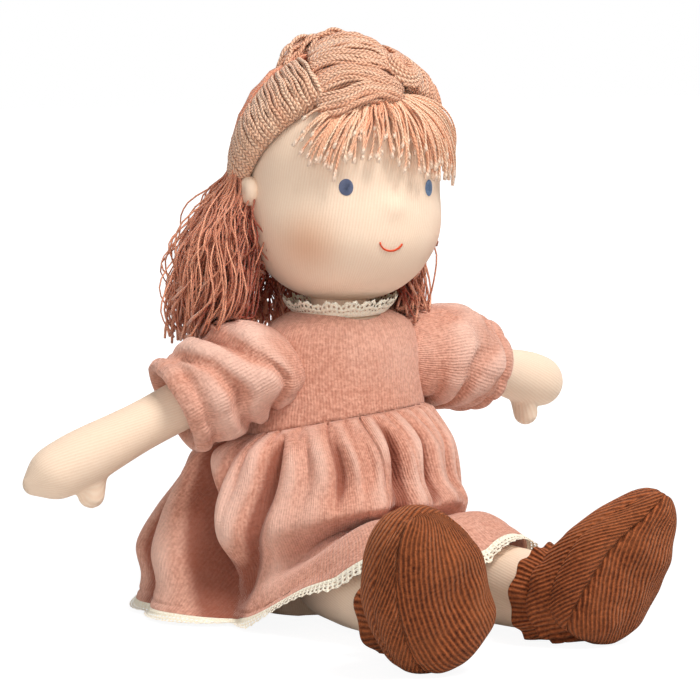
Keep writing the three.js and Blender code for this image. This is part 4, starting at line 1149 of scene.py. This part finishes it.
# Yarn
def yarnPiece(name, paths, radius, finish, tones=None, tip=0.0, sidesRound=4):
    curve = bpy.data.curves.new(name, "CURVE")
    curve.dimensions = "3D"
    curve.bevel_depth = radius * mm
    curve.bevel_resolution = 0
    pick = random.Random(len(paths))
    for path in paths:
        spline = curve.splines.new("POLY")
        spline.points.add(len(path) - 1)
        for point, place in zip(spline.points, path):
            point.co = (*((place + axisFoot) * mm), 1)
        if tip:
            spline.points[-1].radius = 1.5
            spline.points[-2].radius = 1.7
    holder = bpy.data.objects.new(name + "Line", curve)
    bpy.context.scene.collection.objects.link(holder)
    bpy.context.view_layer.update()
    graph = bpy.context.evaluated_depsgraph_get()
    mesh = bpy.data.meshes.new_from_object(holder.evaluated_get(graph))
    bpy.data.objects.remove(holder)
    along, tone, ends, hand = [], [], [], []
    for number, (path, shade) in enumerate(zip(paths, tones or [pick.random() for _ in paths])):
        run = pick.random() * 3
        for i, place in enumerate(path):
            run += (place - path[i - 1]).length if i else 0
            along += [run] * sidesRound
            tone += [shade] * sidesRound
            hand += [1 - 2 * (number % 2)] * sidesRound
            ends += [tip if i >= len(path) - 2 else 0.0] * sidesRound
    for key, values in (("along", along), ("tone", tone), ("tip", ends), ("hand", hand)):
        mesh.attributes.new(key, "FLOAT", "POINT").data.foreach_set("value", values[:len(mesh.vertices)])
    bm = bmesh.new()
    bm.from_mesh(mesh)
    bmesh.ops.holes_fill(bm, edges=bm.edges, sides=sidesRound)
    bm.to_mesh(mesh)
    bm.free()
    piece = showMesh(name, mesh, finish)
    return piece


hairline = {"tilt": math.radians(45.8), "reach": 28, "top": 222, "bandWidth": 27, "bandLift": 7.2}
hairNormal = Vector((0, math.sin(hairline["tilt"]), math.cos(hairline["tilt"])))
hairForward = Vector((0, -math.cos(hairline["tilt"]), math.sin(hairline["tilt"])))
hairEdge = Vector((0, -hairline["reach"], hairline["top"]))
chance = random.Random(7)


def behindEdge(point):
    return (point - hairEdge).dot(hairNormal)


def bandPath(sign, turn, layer):
    path = []
    width = hairline["bandWidth"] * (1.34 - 0.34 * ease((math.degrees(turn) - 45) / 30))
    width *= 1 - 0.45 * ease((math.degrees(turn) - 92) / 34)  # narrower behind the ear
    steps = 18
    crimp = chance.random() * tau
    lean = chance.uniform(-0.03, 0.03)
    for i in range(steps + 1):
        share = i / steps
        depth = lerp(-0.6, width + 2, share)
        lift = hairline["bandLift"] * layer * clamp(0.1 + math.sin(math.pi * clamp(share * 1.02)) ** 0.5)
        start = headMiddle + hairNormal * (depth - behindEdge(headMiddle))
        angle = turn + lean * share + 0.006 * math.sin(share * 17 + crimp)
        direction = Vector((sign, 0, 0)) * math.sin(angle) + hairForward * math.cos(angle)
        point = onHead(direction, lift + 0.9, start)
        point += direction * 0.15 * math.sin(share * 19 + crimp * 2)
        path.append(point)
    return path


bandForm = {"right": (29, 131), "left": (15, 126), "radius": 0.92, "layers": (0.5, 0.76, 1.0)}
for side, sign in sides.items():
    first, last = (math.radians(a) for a in bandForm[side])
    count = int((last - first) * 48 / 1.55)
    paths = []
    for layer in bandForm["layers"]:
        for i in range(count):
            turn = lerp(first, last, (i + layer * 1.7 % 1 + chance.uniform(-0.12, 0.12)) / count)
            paths.append(bandPath(sign, turn, layer * chance.uniform(0.96, 1.03)))
    band = yarnPiece(side + "HairBand", paths, bandForm["radius"], yarnOf["band" if side == "right" else "crown"])
    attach(band, "head")
    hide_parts(side + "_hair_band")

crownForm = {
    "lift": 8.2, "radius": 0.85, "bundles": 7, "each": 8, "heap": 0.67984,
    "starts": [(-29.5, -29, 212), (-26.5, -20, 226), (-21, -8, 235), (-15, 4, 241), (-14, 16, 240), (-15, 28, 234)],
    "ends": [(10, -36, 222), (13, -34, 226), (15, -28, 233), (17, -20, 238), (20, -8, 240), (20, 10, 238)],
}


def swept(start, end, steps, liftAt, bowAt):  # a line over the head between two places near it
    first, last = Vector(start) - headMiddle, Vector(end) - headMiddle
    path = []
    for i in range(steps + 1):
        share = i / steps
        direction = first.normalized().slerp(last.normalized(), share)
        path.append(onHead(direction + Vector(bowAt(share)), liftAt(share)))
    return path


def crownPath(bundle, place, layer):
    row = clamp((bundle + place) / crownForm["bundles"])
    crimp = chance.random() * tau
    wave = bundle * 1.9
    heap = crownForm["heap"] * math.sin(math.pi * place)

    def liftAt(share):
        swell = 0.3 + 0.7 * math.sin(math.pi * clamp(share * 0.95 + 0.06)) ** 0.7
        return 0.8 + (crownForm["lift"] * layer + heap - 1) * swell + 0.35 * math.sin(share * 21 + crimp)

    def bowAt(share):
        side = 0.022 * math.sin(share * 8 + wave) + 0.006 * math.sin(share * 19 + crimp)
        low = (1 - row) ** 3 * math.sin(math.pi * share)
        return (0, -side - 0.06 * low, -0.05 * low - side * 0.5)

    return swept(rowAt(crownForm["starts"], row), rowAt(crownForm["ends"], row), 26, liftAt, bowAt)


paths = []
for layer in (0.5, 0.75, 1.0):
    for bundle in range(crownForm["bundles"]):
        for i in range(crownForm["each"]):
            place = (i + 0.5 + chance.uniform(-0.2, 0.2)) / crownForm["each"]
            paths.append(crownPath(bundle, place, layer * chance.uniform(0.96, 1.04)))
looseForm = {"count": 34, "from": (-26, 12, 236), "to": (16, 14, 241)}
for i in range(looseForm["count"]):  # stray loops behind the crown
    tall, lean = chance.uniform(1.5, 7), chance.uniform(-0.2, 0.2)
    start = Vector(looseForm["from"]) + Vector((chance.uniform(-4, 16), chance.uniform(-8, 10), 0))
    end = Vector(looseForm["to"]) + Vector((chance.uniform(-22, 6), chance.uniform(-10, 8), 0))
    phase = chance.random() * tau
    paths.append(swept(
        start, end, 22, lambda t: 5 + tall * math.sin(math.pi * t) + 0.5 * math.sin(t * 17 + phase),
        lambda t: (0.03 * math.sin(t * 13 + phase), lean * math.sin(math.pi * t) * 0.5, 0),
    ))
crown = yarnPiece("crownHair", paths, crownForm["radius"], yarnOf["crown"])
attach(crown, "head")
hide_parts("crown_hair")

knotForm = {"radius": 10, "turns": 1.2, "strands": 36, "place": (16, -27, 232)}
knotOut = (Vector(knotForm["place"]) - headMiddle).normalized()
knotAcross = knotOut.cross(Vector((0, 0, 1))).normalized()
knotUp = knotOut.cross(knotAcross)


def knotPath(index):
    start = index / knotForm["strands"] * tau
    steps = 24
    path = []
    for i in range(steps + 1):
        share = i / steps
        angle = start + share * knotForm["turns"] * tau
        reach = lerp(knotForm["radius"], 1.4, share ** 0.8) * (0.85 + 0.15 * math.sin(index * 2.1))
        spot = Vector(knotForm["place"]) + knotAcross * reach * math.cos(angle) + knotUp * reach * math.sin(angle)
        swell = math.sin(math.pi * clamp(0.1 + share * 0.75)) * (0.8 + 0.2 * math.cos(index))
        path.append(onHead(spot - headMiddle, 5.2 + 4.2 * swell))
    return path


knot = yarnPiece("crownKnot", [knotPath(i) for i in range(knotForm["strands"])], 0.9, yarnOf["crown"])
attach(knot, "head")
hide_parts("crown_knot")

fringeForm = {
    "strands": 135, "radius": 0.54,
    "roots": [(-18, -34, 218), (-10, -35.6, 220.5), (0, -36.4, 222), (10, -35.5, 223), (16, -34, 224)],
    "tips": [
        (-33, -20, 201), (-27, -27, 194), (-22, -31, 190), (-17, -34, 196), (-9, -37, 197), (0, -38, 194),
        (9, -38, 192), (18, -36, 189), (28, -32, 187), (37, -25, 188), (44, -12, 191),
    ],
}


def fringePath(share, layer):
    share = clamp(share)
    tip = Vector(rowAt(fringeForm["tips"], share)) + Vector((chance.uniform(-4, 4), 0, chance.uniform(-5, 8) - 2 * layer))
    root = Vector(rowAt(fringeForm["roots"], share)) + Vector((chance.uniform(-1.5, 1.5), 0, chance.uniform(-1, 1)))
    bow, phase, sag = chance.uniform(-0.05, 0.05), chance.random() * tau, chance.uniform(2.4, 4.4)
    lean = abs(tip.x) / 60

    def liftAt(t):
        return 1.4 + 1.3 * layer + sag * math.sin(math.pi * t * 0.8) + lean * t * 2

    def bowAt(t):
        return (bow * math.sin(math.pi * t) + 0.008 * math.sin(t * 9 + phase), 0, 0.02 * math.sin(math.pi * t))

    return swept(root, tip, 18, liftAt, bowAt)


paths = []
for i in range(fringeForm["strands"]):
    share = (i + chance.uniform(0, 1)) / fringeForm["strands"]
    paths.append(fringePath(share, chance.choice((0.0, 0.5, 1.0))))
fringe = yarnPiece("fringe", paths, fringeForm["radius"], yarnOf["fringe"], tip=0.85)
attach(fringe, "head")
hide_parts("fringe")

curtainForm = {
    "top": 200, "tip": 116, "spread": 51, "rootDepth": 22, "steps": 18, "overDress": 1.2,
    "outer": [0.94, 1.07, 1.2, 1.34, 1.43, 1.47, 1.4], "inner": [0.6, 0.6, 0.64, 0.72, 0.84, 0.97, 1.08],
}
dressTrees = [surfaceOf(bpy.data.objects[name]) for name in ("rightSleeve", "leftSleeve", "dressBodice")]


def aboveDress(point):  # lets a strand lie on the dress where it would sink in
    for tree in dressTrees:
        hit = tree.ray_cast(Vector((point.x, point.y, 160)), Vector((0, 0, -1)))[0]
        if hit is not None and point.z < hit.z + curtainForm["overDress"]:
            point.z = hit.z + curtainForm["overDress"] + 0.4 * chance.random()
    return point


def curtainPath(turn, layer, full, shorten, sway, curlIn):
    direction = Vector((math.sin(turn), math.cos(turn), 0))
    rise = math.radians(80)
    while rise > 0:  # down the back of the head to where the lock is rooted
        root = onHead(direction * math.cos(rise) + Vector((0, 0, math.sin(rise))))
        if behindEdge(root) >= curtainForm["rootDepth"]:
            break
        rise -= 0.04
    path = []
    for i in range(7):
        angle = lerp(rise, math.radians(12), i / 6)
        lift = 1.6 + 5.4 * layer * min(1, 0.4 + i / 4) + 0.5 * math.sin(i * 2.1 + turn * 90)
        path.append(onHead(direction * math.cos(angle) + Vector((0, 0, math.sin(angle))), lift))
    last = path[-1]
    foot = curtainForm["tip"] + shorten
    phase, wave = chance.random() * tau, chance.uniform(0.8, 3.4) * (1.6 if chance.random() < 0.12 else 1)
    drift = chance.uniform(-0.09, 0.09)
    curl = chance.uniform(0, 150) if chance.random() < 0.45 else 0
    for i in range(1, curtainForm["steps"] + 1):
        share = i / curtainForm["steps"]
        z = lerp(last.z, foot, share)
        fall = clamp((curtainForm["top"] - z) / (curtainForm["top"] - curtainForm["tip"]))
        inner, outer = (rowAt(curtainForm[key], fall) * curtainForm["spread"] for key in ("inner", "outer"))
        reach = lerp(math.hypot(last.x, last.y), lerp(inner, outer, layer) * full, ease(share * 3))
        skin = headTree.ray_cast(Vector((0, 0, z)), direction)[0]
        if skin is not None:
            reach = max(reach, math.hypot(skin.x, skin.y) + 1.5)
        angle = turn + sway * share ** 1.5 - curlIn * math.sin(math.pi * share ** 2.2) + drift * share
        angle += 0.026 * wave * math.sin(share * 10 + phase) * min(1, share * 3)
        reach += wave * math.sin(share * 13 + phase * 1.3) * min(1, share * 2) - curl * max(share - 0.72, 0) ** 2
        point = Vector((math.sin(angle) * reach, math.cos(angle) * reach, z))
        path.append(aboveDress(point) if z < 140 else point)
    return path


lockForms = {
    "rightHairLock": {
        "node": "right_hair_lock", "from": -77, "to": -40, "full": (0.92, 1.0),
        "columns": 60, "layers": 12, "sway": -0.12, "curl": 0.42,
    },
    "backHair": {
        "node": "back_hair", "from": -41, "to": 41, "full": (1.0, 0.83),
        "columns": 84, "layers": 6, "sway": 0.0, "curl": 0.0,
    },
    "leftHairLock": {
        "node": "left_hair_lock", "from": 40, "to": 90, "full": (0.83, 0.62),
        "columns": 40, "layers": 7, "sway": 0.25, "curl": 0.0,
    },
}
for name, form in lockForms.items():
    paths, tones = [], []
    for row in range(form["layers"]):
        layer = (row + 0.5) / form["layers"]
        for i in range(form["columns"]):
            share = (i + chance.random()) / form["columns"]
            turn = math.radians(lerp(form["from"], form["to"], share))
            edge = share if form["sway"] > 0 else 1 - share
            sway = form["sway"] * edge * (1.3 - layer)
            full = lerp(*form["full"], share)
            full *= chance.uniform(0.88, 1.03) if chance.random() < 0.9 else chance.uniform(1.0, 1.1)  # a few stand out
            shorten = chance.uniform(-3, 9) if chance.random() < 0.6 else chance.uniform(5, 38)
            curlIn = form["curl"] * edge ** 1.5 * (0.4 + 0.6 * layer)
            paths.append(curtainPath(turn, clamp(layer + chance.uniform(-0.08, 0.08)) ** 0.7, full, shorten, sway, curlIn))
            tones.append(clamp(0.8 * layer ** 1.3 + chance.uniform(-0.25, 0.38)))  # painted shade: inner strands darker, as under the outer ones, with random tone
    lock = yarnPiece(name, paths, 0.4, yarnOf["loose"], tones, tip=0.35)
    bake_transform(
        lock, "head", "neck",
        start=(axisFoot + Vector((0, 0, 172))) * mm, end=(axisFoot + Vector((0, 0, 122))) * mm,
    )
    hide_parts(form["node"])

capFinish = Finish("wigCapYarn", paint(176, 112, 86), 0.8)
capFinish.raised(capFinish.grain(capFinish.place(), 500), 0.4)


def capPoint(u, v):
    angle = math.radians(lerp(-112, 112, u))
    rise = math.radians(lerp(89, -28, v))
    direction = Vector((math.sin(angle) * math.cos(rise), math.cos(angle) * math.cos(rise), math.sin(rise)))
    return onHead(direction, 0.9)


capBm = sheetMesh(72, 48, capPoint, (160, 90))
spare = [f for f in capBm.faces if behindEdge(f.calc_center_median() / mm - axisFoot) < 3]
bmesh.ops.delete(capBm, geom=spare, context="FACES")
wigCap = addPiece("wigCap", capBm, capFinish.material, 0.8, outward=False, offset=1)
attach(wigCap, "head")
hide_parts("wig_cap")
print("hair ready")

smileForm = {"height": 29.8, "offset": -1.5, "halfWidth": 5.6, "rise": 4.6, "radius": 0.42, "tilt": math.radians(3.5)}
redThread = Finish("redThread", paint(214, 78, 42), 0.5)
smile = []
for i in range(25):
    share = i / 12 - 1
    rise = smileForm["rise"] * (1 - math.sqrt(1 - (0.96 * share) ** 2))
    local = Vector((smileForm["offset"] + smileForm["halfWidth"] * share, 0, rise))
    local = Matrix.Rotation(smileForm["tilt"], 4, "Y") @ local + Vector((0, 0, smileForm["height"]))
    front = (headPlace.to_3x3() @ Vector((0, -1, 0))).normalized()
    hit = headTree.ray_cast(headPlace @ local, front)[0]
    smile.append(hit + front * 0.25)
mouth = yarnPiece("mouth", [smile], smileForm["radius"], redThread.material)
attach(mouth, "head")
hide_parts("mouth")
print("face ready")

# Floor, light and camera
white = (1, 1, 1, 1)


def floorFinish():
    finish = Finish("paleFloor", (0.68, 0.68, 0.68, 1), 0.9)
    output = next(n for n in finish.tree.nodes if n.type == "OUTPUT_MATERIAL")
    seen = finish.node("ShaderNodeLightPath", {}, give="Is Camera Ray")
    away = finish.node("ShaderNodeVectorMath", {"operation": "LENGTH"}, finish.place(), give="Value")
    glow = finish.node("ShaderNodeEmission", {}, Strength=1.22)
    lit = Field(finish, finish.surface.outputs[0])
    share = seen * (away.ramp(0.25, 0.7) * 0.24 + 0.76)  # near the doll the floor keeps its shadow
    finish.feed(output.inputs[0], finish.node("ShaderNodeMixShader", {}, share, lit, glow))
    return finish.material


bm = bmesh.new()
bmesh.ops.create_grid(bm, x_segments=1, y_segments=1, size=6)
bmesh.ops.translate(bm, verts=bm.verts, vec=(0, 0, -0.0006))  # just under the lowest cloth
floor = addPiece("floor", bm, floorFinish())

world = bpy.data.worlds.new("studio")
world.use_nodes = True
backdrop = next(n for n in world.node_tree.nodes if n.type == "BACKGROUND")
backdrop.inputs["Color"].default_value = white
sky = Nodes(world.node_tree)
strength = 0.34  # how strongly the backdrop lights the doll; the rays below see it at full strength
for ray in sky.node("ShaderNodeLightPath", {}, give=("Is Camera Ray", "Is Glossy Ray", "Is Transmission Ray")):
    strength = ray.maths("MAXIMUM", ray, strength)
sky.feed(backdrop.inputs["Strength"], strength)
bpy.context.scene.world = world

lamps = {
    "keyLamp": {"place": (0.3, -1.25, 2.1), "size": 0.9, "power": 51},
    "fillLamp": {"place": (-1.5, -1.45, 0.4), "size": 1.4, "power": 12},
    "backLamp": {"place": (0.9, 1.3, 1.5), "size": 1.2, "power": 8},
}
target = Vector((0, -0.04, 0.12))
for name, lamp in lamps.items():
    light = bpy.data.lights.new(name, "AREA")
    light.size = lamp["size"]
    light.energy = lamp["power"]
    holder = bpy.data.objects.new(name, light)
    holder.location = lamp["place"]
    holder.rotation_euler = (target - holder.location).to_track_quat("-Z", "Y").to_euler()
    bpy.context.scene.collection.objects.link(holder)

view = {
    "azimuth": math.radians(-33), "distance": 1480, "height": 260, "aim": (0, 0, 110),
    "aimPixel": 340, "focal": 3470, "frame": 700,  # in pixels
}
camData = bpy.data.cameras.new("camera")
camData.sensor_width = 36
camData.lens = view["focal"] / view["frame"] * camData.sensor_width
camData.clip_end = 20
camera = bpy.data.objects.new("camera", camData)
spot = Vector((math.sin(view["azimuth"]) * view["distance"], -math.cos(view["azimuth"]) * view["distance"], view["height"]))
ahead = (Vector(view["aim"]) - spot).normalized()
sideways = math.atan((view["frame"] / 2 - view["aimPixel"]) / view["focal"])
ahead = Matrix.Rotation(-sideways, 3, "Z") @ ahead
camera.location = (spot + axisFoot) * mm
camera.rotation_euler = ahead.to_track_quat("-Z", "Y").to_euler()
bpy.context.scene.collection.objects.link(camera)
bpy.context.scene.camera = camera
bpy.context.scene.view_settings.view_transform = "Standard"
print("studio ready")
